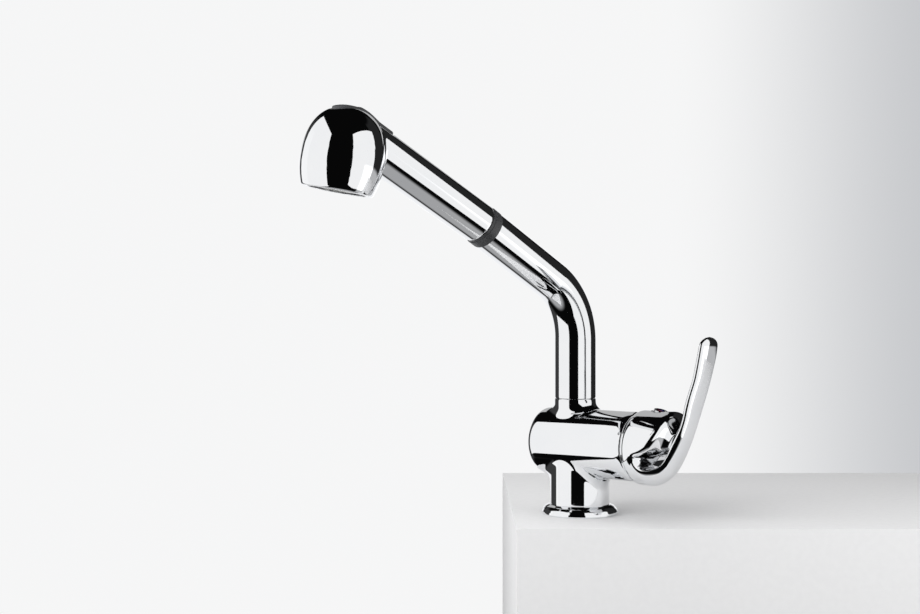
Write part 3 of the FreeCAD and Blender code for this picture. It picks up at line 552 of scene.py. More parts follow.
mixerBody = fieldSolid("mixerBodyShell", bodyField, (-33.5, -25, -0.5), (51, 25, 79.5), body["step"])
finishPiece(mixerBody, "mixer_body")

baseRing = latheMesh("baseFlange", [
    (19.45, 0.0, 0.15), (20.55, 0.0, 0.1), (20.55, 1.2, 0), (23.95, 1.2, 0), (23.95, 0.0, 0.1),
    (25.4, 0.0, 0.25), (25.78, 0.9, 0.4), (25.65, 2.2, 1.2), (24.9, 4.0, 2.0), (23.4, 5.6, 2.4),
    (20.9, 6.8, 0.35), (20.05, 6.8, 0.1), (20.05, 5.8, 0), (19.45, 5.8, 0)], steps=6)
finishPiece(baseRing, "base_ring")

alongBarrel = Matrix.Translation((0, 0, body["barrelZ"])) @ Matrix.Rotation(math.radians(90), 4, "Y")
cover = dict(front=57.5, bore=14.2, back=46.05, skirtR=19.9, joint=49.02, spots=8)
ballSpots = []
for k in range(cover["spots"] + 1):
    x = body["end"] + (cover["front"] - body["end"]) * k / cover["spots"]
    rounding = {0: 0.15, cover["spots"]: 0.3}.get(k, 0.6)
    ballSpots.append((math.sqrt(body["barrelR"] ** 2 - (x - body["ballX"]) ** 2), x, rounding))
coverRing = latheMesh("domedCover", ballSpots + [
    (cover["bore"], cover["front"], 0.3), (cover["bore"], cover["back"], 0.2),
    (cover["skirtR"], cover["back"], 0.2), (cover["skirtR"], cover["joint"], 0)], place=alongBarrel)
finishPiece(coverRing, "cartridge_cover")
print("body pieces made")


# lever: a turned hub whose front is scooped away, and a blade that rises from under it

lever = dict(lipX=50.5, lipR=22.75, hubX=54.5, hubR=24.4, rootX=58.0, rootTop=44.0, axisX=10.0,
             tipZ=120.6, frontRound=3.0, scoopRound=0.9, dish=0.8, dishTop=70.0, joinRound=6.0,
             nookSoft=50, step=0.5, gap=0.3, coverEnd=14.6, tilt=17.0, bossR=8.5, bossX=58.1,
             socket=3.65, socketLow=55.7, socketHigh=64.2)
plugSeat = dict(x=65.5, lean=15.0, r=4.65, deep=2.6, screwR=2.5, screwDeep=23.0)
scoopFront = [(77.0, 80.0), (78.6, 72.5), (80.0, 67.5), (80.2, 63.0), (78.7, 57.5),
              (76.2, 52.2), (73.2, 48.2), (69.3, 45.5), (65.6, 43.9), (64.0, 42.0)]
scoopBack = [(64.4, 38.2), (67.2, 35.1), (71.2, 36.7), (75.0, 41.3), (78.2, 47.0),
             (81.4, 54.3), (84.5, 61.5), (86.9, 68.0), (88.0, 74.0), (88.2, 80.0)]
bladeRows = [  # centre x, z, lean, half width, outer and inner half thickness, power
    (58, 48.1, 0, 24.4, 24.4, 1.0, 2.0), (59.1, 44.1, 14, 23.2, 20.4, 1.6, 2.0),
    (62.9, 40.3, 29, 19.6, 14.2, 6.6, 2.0), (68.4, 39.0, 45, 14.9, 8.6, 9.0, 2.1),
    (75.2, 43.8, 57, 12.2, 5.0, 5.0, 2.3), (80.4, 51.8, 63, 10.4, 3.9, 3.0, 2.5),
    (84.4, 60.0, 67, 9.7, 3.4, 2.2, 2.6), (87.6, 68.4, 70, 9.6, 3.2, 2.0, 2.6),
    (90.2, 76.6, 70, 10.0, 3.1, 2.0, 2.6), (93.3, 85.6, 69, 9.9, 3.0, 2.0, 2.6),
    (96.0, 93.8, 71, 9.6, 3.0, 2.0, 2.6), (98.0, 101.6, 76, 9.8, 3.0, 2.0, 2.6),
    (99.7, 108.8, 79, 10.0, 2.9, 2.0, 2.6), (100.8, 114.6, 80, 9.8, 2.8, 2.0, 2.6)]


def throughPoints(rows, parts):
    rows = np.array(rows, float)
    full = []
    last = len(rows) - 1
    for k in range(last):
        a, b, c, d = [rows[min(max(k + n, 0), last)] for n in (-1, 0, 1, 2)]
        for n in range(parts):
            t = n / parts
            full.append(b + 0.5 * ((c - a) * t + (2 * a - 5 * b + 4 * c - d) * t ** 2
                                   + (3 * b - a - 3 * c + d) * t ** 3))
    return np.array(full + [rows[-1]])


def outlineDistance(outline, u, v):  # signed distance from a closed outline, negative inside
    nearest = np.full(u.shape, 1e9)
    inside = np.zeros(u.shape, bool)
    for a, b in zip(outline, np.roll(outline, -1, 0)):
        way = b - a
        length = way @ way
        if length < 1e-12:
            continue
        share = np.clip(((u - a[0]) * way[0] + (v - a[1]) * way[1]) / length, 0, 1)
        gap = (u - a[0] - share * way[0]) ** 2 + (v - a[1] - share * way[1]) ** 2
        nearest = np.minimum(nearest, gap)
        if a[1] != b[1]:
            crosses = (a[1] > v) != (b[1] > v)
            inside ^= crosses & (u < way[0] * (v - a[1]) / way[1] + a[0])
    return np.where(inside, -1, 1) * np.sqrt(nearest)


def lookedUp(outline, low, high, soften=0, step=0.25):
    u, v = np.meshgrid(np.arange(low[0], high[0], step), np.arange(low[1], high[1], step), indexing="ij")
    table = outlineDistance(outline, u, v)
    for _ in range(soften):
        for axis in (0, 1):
            table = 0.5 * table + 0.25 * (np.roll(table, 1, axis) + np.roll(table, -1, axis))

    def read(a, b):
        a, b = np.broadcast_arrays((a - low[0]) / step, (b - low[1]) / step)
        a = np.clip(a, 0, table.shape[0] - 1.001)
        b = np.clip(b, 0, table.shape[1] - 1.001)
        i, j = a.astype(int), b.astype(int)
        p, q = a - i, b - j
        return ((1 - p) * (1 - q) * table[i, j] + p * (1 - q) * table[i + 1, j]
                + (1 - p) * q * table[i, j + 1] + p * q * table[i + 1, j + 1])
    return read


def bladeMaps(x, z):  # the blade's section that each spot of the side view lies in
    rows = throughPoints(bladeRows, 6)
    x, z = np.broadcast_arrays(x[:, 0, :], z[:, 0, :])
    lean = np.radians(rows[:, 2])
    found = np.zeros((7,) + x.shape)

    def past(k):  # how far each spot lies beyond row k's plane
        return (x - rows[k, 0]) * math.cos(lean[k]) + (z - rows[k, 1]) * math.sin(lean[k])

    beyond = past(-1)
    best = np.full(x.shape, 1e9)
    for k in range(len(rows) - 1):
        g, h = past(k), past(k + 1)
        share = np.clip(g / np.where(np.abs(g - h) < 1e-9, 1e-9, g - h), 0, 1)
        hit = (g >= 0) & (h < 0)
        off = np.hypot(x - rows[k, 0], z - rows[k, 1])
        hit &= off < best
        best = np.where(hit, off, best)
        for n in range(7):
            mixed = rows[k, n] * (1 - share) + rows[k + 1, n] * share
            found[n] = np.where(hit, mixed, found[n])
    ahead = (beyond >= 0) & (z > 100)
    for n in range(7):
        found[n] = np.where(ahead, rows[-1, n], found[n])
    missed = (best > 1e8) & ~ahead
    return found, np.where(missed, 1e3, -1e3), np.where(ahead, beyond, 0.0)


def leverField(x, y, z):
    v, plug = lever, plugSeat
    maps, missed, beyond = bladeMaps(x, z)
    cx, cz, lean, halfW, outerT, innerT, power = [m[:, None, :] for m in maps]
    turn = np.radians(lean)
    tipLen = (v["tipZ"] - bladeRows[-1][1]) / math.sin(math.radians(bladeRows[-1][2]))
    share = np.clip(beyond[:, None, :] / tipLen, 0, 0.999)
    shrink = np.sqrt(1 - share ** 2)
    across = -(x - cx) * np.sin(turn) + (z - cz) * np.cos(turn)
    thick = np.where(across < 0, outerT, innerT) * shrink
    wide = halfW * shrink
    power = np.maximum(power, 1.5)
    blade = superDistance(np.abs(y), np.abs(across), np.maximum(wide, 0.3), np.maximum(thick, 0.3), power)
    over = beyond[:, None, :] - tipLen
    blade = np.where(over > 0, np.hypot(np.maximum(blade, 0), over), blade)
    blade = np.maximum(blade, missed[:, None, :])
    blade = np.maximum(blade, v["rootX"] - x)
    up = z - body["barrelZ"]
    rho = np.hypot(y, up)
    hub = superDistance(v["hubX"] - x, rho - v["lipR"], v["hubX"] - v["lipX"], v["hubR"] - v["lipR"], 1.9)
    deep = (rho < v["lipR"]) & (x > v["hubX"])
    hub = np.where(deep, np.maximum(rho - v["hubR"], v["lipX"] - x), hub)
    hub = np.where((rho < v["lipR"]) & (x <= v["hubX"]), v["lipX"] - x, hub)
    front = throughPoints(scoopFront, 6)
    scoop = np.vstack([front, throughPoints([scoopFront[-1]] + scoopBack, 6)[1:],
                       [(88.2, 96.0), (74.0, 96.0)]])
    past = np.vstack([front, [(64.0, 10.0), (130.0, 10.0), (130.0, 96.0), (74.0, 96.0)]])
    radius = np.hypot(x - v["axisX"], y) + v["axisX"]
    pastFront = lookedUp(past, (40, 15), (132, 128), v["nookSoft"])(radius, z)
    inScoop = lookedUp(scoop, (40, 15), (132, 128), v["nookSoft"])(radius, z)
    hub = roundCut(hub, pastFront, v["frontRound"])
    hub = np.where((x > v["rootX"]) & (z < v["rootTop"]), 30.0, hub)
    fade = np.clip((v["dishTop"] - z) / 22.0, 0, 1)
    dish = v["dish"] * fade ** 2 * (3 - 2 * fade) * np.clip(1 - (y / np.maximum(halfW - 1.0, 1.0)) ** 2, 0, 1)
    blade = roundCut(blade, inScoop - dish, v["scoopRound"])
    share = np.clip((x - 59.0) / 5.0, 0, 1)
    solid = roundJoin(hub, blade, 0.05 + v["joinRound"] * share * share * (3 - 2 * share))
    ahead = x - body["ballX"]
    ball = np.sqrt(ahead ** 2 + y ** 2 + up ** 2) - (body["barrelR"] + v["gap"])
    half = math.radians(v["tilt"])
    opened = ahead * math.cos(half) + up * math.sin(half)
    openedUp = np.maximum(opened - v["coverEnd"], -opened)
    closed = np.maximum(ahead - v["coverEnd"], -ahead)
    room = np.maximum(ball, np.minimum(closed, openedUp))
    boss = np.maximum(rho - v["bossR"], v["bossX"] - x)
    solid = np.maximum(solid, -np.maximum(room, -boss))
    socket = np.maximum(np.maximum(np.abs(y), np.abs(up)) - v["socket"],
                        np.maximum(v["socketLow"] - x, x - v["socketHigh"]))
    solid = np.maximum(solid, -socket)
    lean = math.radians(plug["lean"])
    off, rise = x - plug["x"], z - (body["barrelZ"] + v["hubR"])
    out = off * math.sin(lean) + rise * math.cos(lean)
    side = np.hypot(off * math.cos(lean) - rise * math.sin(lean), y)
    hole = np.maximum(side - plug["r"], -plug["deep"] - out)
    thread = np.maximum(side - plug["screwR"], np.maximum(-plug["screwDeep"] - out, out - 2))
    return np.maximum(np.maximum(solid, -hole), -thread)


def ramp(value, low, high):
    share = np.clip((value - low) / (high - low), 0, 1)
    return share * share * (3 - 2 * share)


def nookShare(x, y, z):
    return ramp(x, 61, 67) * ramp(z, 35, 40) * (1 - ramp(z, 74, 84)) * (1 - ramp(np.abs(y), 12, 17))


leverShell = fieldSolid("leverShell", leverField, (44, -27, 21), (108, 27, 123), lever["step"], 2,
                        calm=nookShare)
satin = leverShell.data.attributes.new("satin", "FLOAT", "POINT")
inward = np.array((-0.6, 0.0, 0.8))
for k, vertex in enumerate(leverShell.data.vertices):
    spot = np.array(vertex.co) / mm
    facing = float(np.array(vertex.normal) @ inward)
    low = 1 - float(ramp(spot[2], 52, 64))
    satin.data[k].value = float(nookShare(*spot)) * float(ramp(facing, 0.15, 0.55)) * low
leverShell.data.materials.append(material("leverChrome", paintLeverChrome, Metallic=1.0))
finishPiece(leverShell, "lever_handle")
print("lever made")


# handset: a domed head crossed by its handle, hollow, with a window for the rocker

head = dict(r=24.9, rimR=21.4, waistH=18.3, crownH=50.4, power=2.3, step=0.64,
            windowFront=12.3, windowBack=31.0, windowW=12.5, windowGap=0.45)


def domeDistance(x, y, z, grow):
    h = head
    rho = np.hypot(x, y)
    upper = superDistance(rho, z - h["waistH"], h["r"] + grow, h["crownH"] - h["waistH"] + grow, h["power"])
    belly = h["r"] - h["rimR"]
    sideR = (belly ** 2 + h["waistH"] ** 2) / (2 * belly)
    lower = np.hypot(rho + sideR - h["r"], z - h["waistH"]) - sideR - grow
    return np.where(z > h["waistH"], upper, lower)


def handleAxes(x, y, z):
    lean = math.radians(spoutFrame["rise"] - headFrame["droop"] - headFrame["tilt"])
    up = z - headFrame["crossZ"]
    along = x * math.cos(lean) + up * math.sin(lean)
    side = np.hypot(y, -x * math.sin(lean) + up * math.cos(lean))
    return along, side


def headDistance(x, y, z, grow, join=0.8, floor=0.0):
    along, side = handleAxes(x, y, z)
    handle = np.maximum(side - headFrame["handleR"] - grow, along)
    dome = roundMeet(domeDistance(x, y, z, grow), floor - z, 0.45)
    return roundJoin(dome, handle, join)


def stadiumDistance(x, y, grow):
    half = head["windowW"] / 2
    front, back = head["windowFront"] - half, -head["windowBack"] + half
    return np.hypot(x - np.clip(x, back, front), y) - half - grow


def handsetField(x, y, z):
    outer = headDistance(x, y, z, 0.0)
    along, side = handleAxes(x, y, z)
    mouth = np.hypot(x, y) - head["rimR"] + headFrame["wall"]
    room = np.where(z < 0, mouth, domeDistance(x, y, z, -headFrame["wall"]))
    inner = np.minimum(room, np.maximum(side - headFrame["handleR"] + headFrame["wall"], along))
    shell = roundCut(outer, inner, 0.35)
    window = np.maximum(stadiumDistance(x, y, head["windowGap"]), 32.1 - z)
    shell = roundCut(shell, window, 0.3)
    plane = headPlace().inverted() @ onDock(spoutFrame["ringEnd"] + headFrame["gap"])
    spot, way = plane.translation, plane.to_3x3() @ Vector((0, 0, 1))
    behind = (x - spot.x) * way.x + (y - spot.y) * way.y + (z - spot.z) * way.z
    return roundMeet(shell, -behind, 0.35)


handset = fieldSolid("handsetShell", handsetField, (-124, -27, -16), (27, 27, 52.5), head["step"], 1,
                     headPlace())
finishPiece(handset, "handset_shell")


rocker = dict(proud=0.9, sink=1.0, ribs=0.08, ribPitch=1.5, ribX=7.0, ribLong=2.6, ribWide=3.6,
              pinZ=44.66, pinR=1.2, lugR=2.5, lugHalf=2.0, pusherR=1.6, pusherX=5.0)


def rockerField(x, y, z):
    r = rocker
    pad = roundMeet(headDistance(x, y, z, r["proud"], 2.0), stadiumDistance(x, y, 0.0), 0.6)
    pad = roundCut(pad, headDistance(x, y, z, -r["sink"], 2.0), 0.2)
    pad = np.maximum(pad, 30.0 - z)
    ribs = r["ribs"] * np.cos(2 * math.pi * (x - 8.5) / r["ribPitch"])
    ribs = ribs * (np.abs(x - r["ribX"]) < r["ribLong"]) * (np.abs(y) < r["ribWide"])
    pinX = (head["windowFront"] - head["windowBack"]) / 2
    thick = np.abs(y) - r["lugHalf"]
    lug = np.maximum(np.maximum(np.abs(x - pinX) - r["lugR"], thick), np.maximum(z - 46.0, 42.6 - z))
    foot = np.maximum(np.hypot(x - pinX, z - r["pinZ"]) - r["lugR"], thick)
    pin = np.hypot(x - pinX, z - r["pinZ"]) - r["pinR"]
    pusher = rodZ(x, y, z, r["pusherR"], 43.4, 49.9, r["pusherX"])
    solid = np.minimum(np.minimum(pad + ribs, np.minimum(lug, foot)), pusher)
    return np.maximum(solid, -pin)


rockerShell = fieldSolid("selectorRocker", rockerField, (-33.5, -8, 30), (15, 8, 53), 0.3, 1, headPlace())
finishPiece(rockerShell, "selector_rocker")

faceRing = latheMesh("faceRing", [(17.6, 0.2, 0.25), (19.35, 0.2, 0.25), (19.35, 4.2, 0.1), (17.6, 4.2, 0.1)],
                     place=headPlace())
finishPiece(faceRing, "face_ring")
aeratorCup = latheMesh("aeratorCup", [
    (8.2, 0.8, 0.3), (9.6, 0.8, 0.3), (9.6, 12.8, 0.2), (8.2, 12.8, 0.2), (8.2, 5.8, 0.2),
    (2.4, 5.8, 0.2), (2.4, 4.2, 0.2), (8.2, 4.2, 0.2)], place=headPlace())
finishPiece(aeratorCup, "aerator_housing")
dockRing = latheMesh("dockRing", [
    (13.25, 91.7, 0.2), (13.25, 97.3, 0.25), (12.8, 97.3, 0.1), (12.8, 99.3, 0.3), (9.8, 99.3, 0.4),
    (9.8, 67.0, 0.3), (11.6, 67.0, 0.3), (11.6, 91.7, 0)], place=onDock())
finishPiece(dockRing, "dock_bush")
print("handset made")


# geometry nodes: a tree with named sizes, turned into a plain mesh

class Tree:
    def __init__(self, name, inputs):
        self.group = bpy.data.node_groups.new(name, "GeometryNodeTree")
        face = self.group.interface
        face.new_socket("Geometry", in_out="OUTPUT", socket_type="NodeSocketGeometry")
        face.new_socket("Geometry", in_out="INPUT", socket_type="NodeSocketGeometry")
        kinds = {float: "NodeSocketFloat", int: "NodeSocketInt"}
        for key, value in inputs.items():
            face.new_socket(key, in_out="INPUT", socket_type=kinds[type(value)])
        self.sizes = inputs
        self.start = self.group.nodes.new("NodeGroupInput")
        self.end = self.group.nodes.new("NodeGroupOutput")

    def size(self, key):
        return self.start.outputs[key]

    def add(self, kind, settings=None, inputs=None):
        made = self.group.nodes.new(kind)
        for key, value in (settings or {}).items():
            setattr(made, key, value)
        for key, value in (inputs or {}).items():
            if isinstance(value, bpy.types.Node):
                value = value.outputs[0]
            for one in (value if isinstance(value, list) else [value]):
                if isinstance(one, bpy.types.Node):
                    one = one.outputs[0]
                if isinstance(one, bpy.types.NodeSocket):
                    self.group.links.new(one, made.inputs[key])
                else:
                    made.inputs[key].default_value = one
        return made

    def maths(self, operation, a, b=0.0):
        return self.add("ShaderNodeMath", dict(operation=operation), {0: a, 1: b})

    def finish(self, geometry, finish):
        real = self.add("GeometryNodeRealizeInstances", {}, {"Geometry": geometry})
        paint = self.add("GeometryNodeSetMaterial", {}, {"Geometry": real, "Material": finish})
        self.group.links.new(paint.outputs[0], self.end.inputs[0])

    def bake(self, name, base, place=None, crease=35.0):
        modifier = base.modifiers.new("make", "NODES")
        modifier.node_group = self.group
        for item in self.group.interface.items_tree:
            if item.in_out == "INPUT" and item.name in self.sizes:
                modifier[item.identifier] = self.sizes[item.name]
        bpy.context.view_layer.update()
        grown = base.evaluated_get(bpy.context.evaluated_depsgraph_get())
        mesh = bpy.data.meshes.new_from_object(grown)
        mesh.name = name
        base.modifiers.remove(modifier)
        bpy.data.objects.remove(base)
        if place is not None:
            mesh.transform(place)
        mesh.transform(Matrix.Scale(mm, 4))
        smoothed(mesh, crease)
        print(name, len(mesh.polygons), "faces")
        return newObject(name, mesh)


def emptyBase(name):
    return newObject(name, bpy.data.meshes.new(name))


# spout tube: swept along its bent path, with a radius that narrows round the bend

def spoutPath():
    s = spoutFrame
    tangent = s["bendR"] * math.tan(math.radians(90 - s["rise"]) / 2)
    handle = 4 / 3 * math.tan(math.radians(90 - s["rise"]) / 4) * s["bendR"]
    up = Vector((0, 0, 1))
    start = Vector((0, 0, s["kneeZ"] - tangent))
    finish = alongDock(tangent)
    data = bpy.data.curves.new("spoutPath", "CURVE")
    data.dimensions = "3D"
    data.resolution_u = 48
    spline = data.splines.new("BEZIER")
    spline.bezier_points.add(3)
    rows = [(Vector((0, 0, s["bottom"])), 1, 1), (start, 1, handle), (finish, handle, 1),
            (alongDock(s["tubeEnd"]), 1, 1)]
    for k, (spot, before, after) in enumerate(rows):
        way = up if k < 2 else dockWay()
        point = spline.bezier_points[k]
        point.handle_left_type = point.handle_right_type = "FREE"
        point.co = spot
        point.handle_left = spot - way * before
        point.handle_right = spot + way * after
    low = start.z - s["bottom"]
    bend = math.radians(90 - s["rise"]) * s["bendR"]
    return newObject("spoutPath", data), low, bend


def makeSpout():
    s = spoutFrame
    path, low, bend = spoutPath()
    tree = Tree("spoutSweep", {"Low Radius": s["lowR"], "Top Radius": s["topR"], "Wall": s["wall"],
                               "Bend Start": low, "Bend Length": bend, "Sides": 160})
    along = tree.add("GeometryNodeSplineParameter")
    share = tree.add("ShaderNodeMapRange", {}, {
        0: along.outputs["Length"], 1: tree.size("Bend Start"),
        2: tree.maths("ADD", tree.size("Bend Start"), tree.size("Bend Length")),
        3: tree.size("Low Radius"), 4: tree.size("Top Radius")})
    skins = []
    for inner in (False, True):
        radius = tree.maths("SUBTRACT", share, tree.size("Wall")) if inner else share
        sized = tree.add("GeometryNodeSetCurveRadius", {}, {"Curve": tree.start.outputs[0], "Radius": radius})
        ring = tree.add("GeometryNodeCurvePrimitiveCircle", {}, {
            "Resolution": tree.size("Sides"), "Radius": 1.0})
        swept = tree.add("GeometryNodeCurveToMesh", {}, {
            "Curve": sized, "Profile Curve": ring, "Scale": radius})
        skins.append(tree.add("GeometryNodeFlipFaces", {}, {"Mesh": swept}) if inner else swept)
    both = tree.add("GeometryNodeJoinGeometry", {}, {"Geometry": skins})
    tree.finish(both, finishes["chrome"])
    tube = tree.bake("spoutTube", path, spoutPlace())
    form = bmesh.new()
    form.from_mesh(tube.data)
    bmesh.ops.remove_doubles(form, verts=form.verts, dist=1e-7)
    for ceiling in (0.1, 1.0):  # the lower mouth, then the upper one
        openEdges = [e for e in form.edges if e.is_boundary and e.verts[0].co.z < ceiling]
        bmesh.ops.bridge_loops(form, edges=openEdges)
    bmesh.ops.recalc_face_normals(form, faces=form.faces)
    form.to_mesh(tube.data)
    form.free()
    smoothed(tube.data, 35.0)
    finishPiece(tube, "spout_tube")


makeSpout()


# pull-out hose: a braided skin along the spout's path, ending in a straight run

hosePiece = dict(r=6.0, bottom=-58.0, end=77.6, braid=0.12, sides=96, strands=12, lay=7.0, step=0.75)


def makeHose():
    s, h = spoutFrame, hosePiece
    turn = math.radians(90 - s["rise"])
    tangent = s["bendR"] * math.tan(turn / 2)
    low = s["kneeZ"] - tangent - h["bottom"]
    bend = turn * s["bendR"]
    total = low + bend + h["end"] - tangent
    verts, faces = [], []
    rings = int(total / h["step"])
    for n in range(rings + 1):
        far = total * n / rings
        angle = min(max(far - low, 0.0), bend) / s["bendR"]
        way = Vector((math.sin(angle), 0, math.cos(angle)))
        out = Vector((math.cos(angle), 0, -math.sin(angle)))
        spot = Vector((s["bendR"] - s["bendR"] * math.cos(angle), 0, s["bendR"] * math.sin(angle)))
        spot += Vector((0, 0, h["bottom"] + min(far, low))) + way * max(far - low - bend, 0.0)
        for k in range(h["sides"]):
            around = 2 * math.pi * k / h["sides"]
            one = math.cos(h["strands"] * around + 2 * math.pi * far / h["lay"])
            other = math.cos(h["strands"] * around - 2 * math.pi * far / h["lay"])
            r = h["r"] - h["braid"] * (1 - max(one, other)) / 2
            verts.append(spot + out * math.cos(around) * r + Vector((0, r * math.sin(around), 0)))
    for n in range(rings):
        for k in range(h["sides"]):
            a, b = n * h["sides"] + k, n * h["sides"] + (k + 1) % h["sides"]
            faces.append((a, b, b + h["sides"], a + h["sides"]))
    faces.append(tuple(range(h["sides"]))[::-1])
    faces.append(tuple(range(rings * h["sides"], (rings + 1) * h["sides"])))
    mesh = bpy.data.meshes.new("braidedHose")
    mesh.from_pydata(verts, [], faces)
    mesh.transform(spoutPlace())
    mesh.transform(Matrix.Scale(mm, 4))
    smoothed(mesh, 50.0)
    mesh.materials.append(finishes["hose"])
    hose = newObject("braidedHose", mesh)
    start, end = [spoutPlace() @ alongDock(far) * mm for far in (tangent + 4.0, h["end"] - 3.0)]
    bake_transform(hose)
    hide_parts("pullout_hose")


makeHose()


# threaded shank: a helical ridge wound on a tube

shank = dict(r=16.0, wall=2.0, top=12.0, bottom=-58.0, threadTop=-4.0, pitch=1.5, depth=0.85)


def makeShank():
    s = shank
    turns = (s["threadTop"] - s["bottom"] - 2.4) / s["pitch"]
    tree = Tree("threadWinding", {"Radius": s["r"], "Pitch": s["pitch"], "Depth": s["depth"], "Turns": turns,
                                  "Steps Per Turn": 56})
    root = tree.maths("SUBTRACT", tree.size("Radius"), tree.size("Depth"))
    helix = tree.add("GeometryNodeCurveSpiral", {}, {
        "Resolution": tree.size("Steps Per Turn"), "Rotations": tree.size("Turns"),
        "Start Radius": root, "End Radius": root,
        "Height": tree.maths("MULTIPLY", tree.size("Turns"), tree.size("Pitch"))})
    profile = tree.add("GeometryNodeCurvePrimitiveQuadrilateral", dict(mode="TRAPEZOID"), {
        "Height": tree.maths("MULTIPLY", tree.size("Depth"), 2.0),
        "Bottom Width": tree.maths("MULTIPLY", tree.size("Pitch"), 1.55),
        "Top Width": tree.maths("MULTIPLY", tree.size("Pitch"), 0.15), "Offset": 0.0})
    turned = tree.add("GeometryNodeTransform", {}, {
        "Geometry": profile, "Rotation": (0, 0, math.radians(-90))})
    upright = tree.add("GeometryNodeSetCurveNormal", {}, {"Curve": helix})
    swept = tree.add("GeometryNodeCurveToMesh", {}, {
        "Curve": upright, "Profile Curve": turned, "Fill Caps": True})
    tree.finish(swept, finishes["brass"])
    place = Matrix.Translation((0, 0, s["bottom"] + 1.3))
    thread = tree.bake("shankThread", emptyBase("threadBase"), place, 25.0)
    core = latheMesh("shankCore", [
        (14.0, s["bottom"], 0.3), (15.2, s["bottom"], 0.3), (15.2, s["threadTop"], 0.1),
        (16.0, s["threadTop"] + 0.8, 0.1), (16.0, s["top"], 0.1), (14.0, s["top"], 0.1)])
    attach(core, "fixed")
    core.data.materials.append(finishes["brass"])
    finishPiece(thread, "mounting_shank")


makeShank()


# spray face: rubber nozzles on two rings, and the woven screen of the aerator

def makeNozzles():
    tip = latheMesh("nozzleTip", [
        (0.28, 4.4, 0), (0.28, 0.52, 0.08), (0.62, 0.50, 0.12), (0.84, 4.2, 0), (0.84, 4.4, 0)], 16, 2)
    tree = Tree("nozzleRings", {"Outer Count": 16, "Outer Radius": 15.6,
                                "Inner Count": 12, "Inner Radius": 12.6})
    info = tree.add("GeometryNodeObjectInfo", {}, {"Object": tip})
    rings = []
    for key, half in (("Outer", 0.0), ("Inner", math.pi / 12)):
        ring = tree.add("GeometryNodeMeshCircle", {}, {
            "Vertices": tree.size(key + " Count"), "Radius": tree.size(key + " Radius")})
        turned = tree.add("GeometryNodeTransform", {}, {"Geometry": ring, "Rotation": (0, 0, half)})
        rings.append(tree.add("GeometryNodeInstanceOnPoints", {}, {
            "Points": turned, "Instance": info.outputs["Geometry"], "Scale": (1000.0, 1000.0, 1000.0)}))
    both = tree.add("GeometryNodeJoinGeometry", {}, {"Geometry": rings})
    tree.finish(both, finishes["nozzle_rubber"])
    nozzles = tree.bake("sprayNozzles", emptyBase("nozzleBase"), headPlace())
    bpy.data.objects.remove(tip)
    sheet = latheMesh("nozzleSheet", [(9.9, 4.2, 0.1), (17.1, 4.2, 0.1), (17.1, 5.2, 0.1), (9.9, 5.2, 0.1)],
                      place=headPlace())
    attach(sheet, "handset")
    sheet.data.materials.append(finishes["nozzle_rubber"])
    finishPiece(nozzles, "nozzle_set")


makeNozzles()


def makeScreen():
    tree = Tree("wovenScreen", {"Radius": 8.1, "Wires": 15, "Wire Radius": 0.16, "Height": 3.6})
    gap = tree.maths("DIVIDE", tree.maths("MULTIPLY", tree.size("Radius"), 1.9), tree.size("Wires"))
    row = tree.add("GeometryNodeMeshLine", dict(mode="END_POINTS"), {
        "Count": tree.size("Wires"), "Start Location": (-7.6, 0, 0), "Offset": (7.6, 0, 0)})
    where = tree.add("ShaderNodeSeparateXYZ", {}, {0: tree.add("GeometryNodeInputPosition")})
    square = tree.maths("SUBTRACT", tree.maths("MULTIPLY", tree.size("Radius"), tree.size("Radius")),
                        tree.maths("MULTIPLY", where.outputs[0], where.outputs[0]))
    chord = tree.maths("SQRT", square)
    scale = tree.add("ShaderNodeCombineXYZ", {}, {0: 1.0, 1: 1.0, 2: chord})
    wire = tree.add("GeometryNodeMeshCylinder", {}, {
        "Vertices": 8, "Radius": tree.size("Wire Radius"), "Depth": 2.0})
    laid = tree.add("GeometryNodeInstanceOnPoints", {}, {
        "Points": row, "Instance": wire, "Rotation": (math.radians(90), 0, 0), "Scale": scale})
    up = tree.add("ShaderNodeCombineXYZ", {}, {2: tree.size("Height")})
    crossing = tree.maths("ADD", tree.size("Height"), tree.size("Wire Radius"))
    higher = tree.add("ShaderNodeCombineXYZ", {}, {2: crossing})
    one = tree.add("GeometryNodeTransform", {}, {"Geometry": laid, "Translation": up})
    other = tree.add("GeometryNodeTransform", {}, {"Geometry": laid, "Translation": higher,
                                                   "Rotation": (0, 0, math.radians(90))})
    hoop = tree.add("GeometryNodeCurvePrimitiveCircle", {}, {"Resolution": 64, "Radius": tree.size("Radius")})
    bead = tree.add("GeometryNodeCurvePrimitiveCircle", {}, {"Resolution": 8, "Radius": 0.3})
    rim = tree.add("GeometryNodeCurveToMesh", {}, {"Curve": hoop, "Profile Curve": bead})
    rimUp = tree.add("GeometryNodeTransform", {}, {"Geometry": rim, "Translation": up})
    both = tree.add("GeometryNodeJoinGeometry", {}, {"Geometry": [one, other, rimUp]})
    tree.finish(both, finishes["screen"])
    screen = tree.bake("aeratorMesh", emptyBase("screenBase"), headPlace())
    finishPiece(screen, "aerator_screen")


makeScreen()


# index plug in the hub's top

plugPlace = Matrix.Translation((plugSeat["x"], 0, 72.5))
plugPlace = plugPlace @ Matrix.Rotation(math.radians(plugSeat["lean"]), 4, "Y")
plug = latheMesh("indexPlug", [
    (0.001, 0.05, 0), (2.9, 0.1, 0.2), (3.3, 0.35, 0.15), (4.6, 0.35, 0.4)][::-1] + [
    (0.001, -5.5, 0), (2.3, -5.5, 0.2), (2.3, -2.5, 0), (4.6, -2.55, 0.15)], 64, place=plugPlace)
finishPiece(plug, "index_plug")
print("small pieces made")


# stage: a worktop with the hole that the shank passes through

worktop = dict(left=-0.045, right=0.44, front=-0.068, back=0.236, thick=0.03, hole=0.0175, apron=0.36)


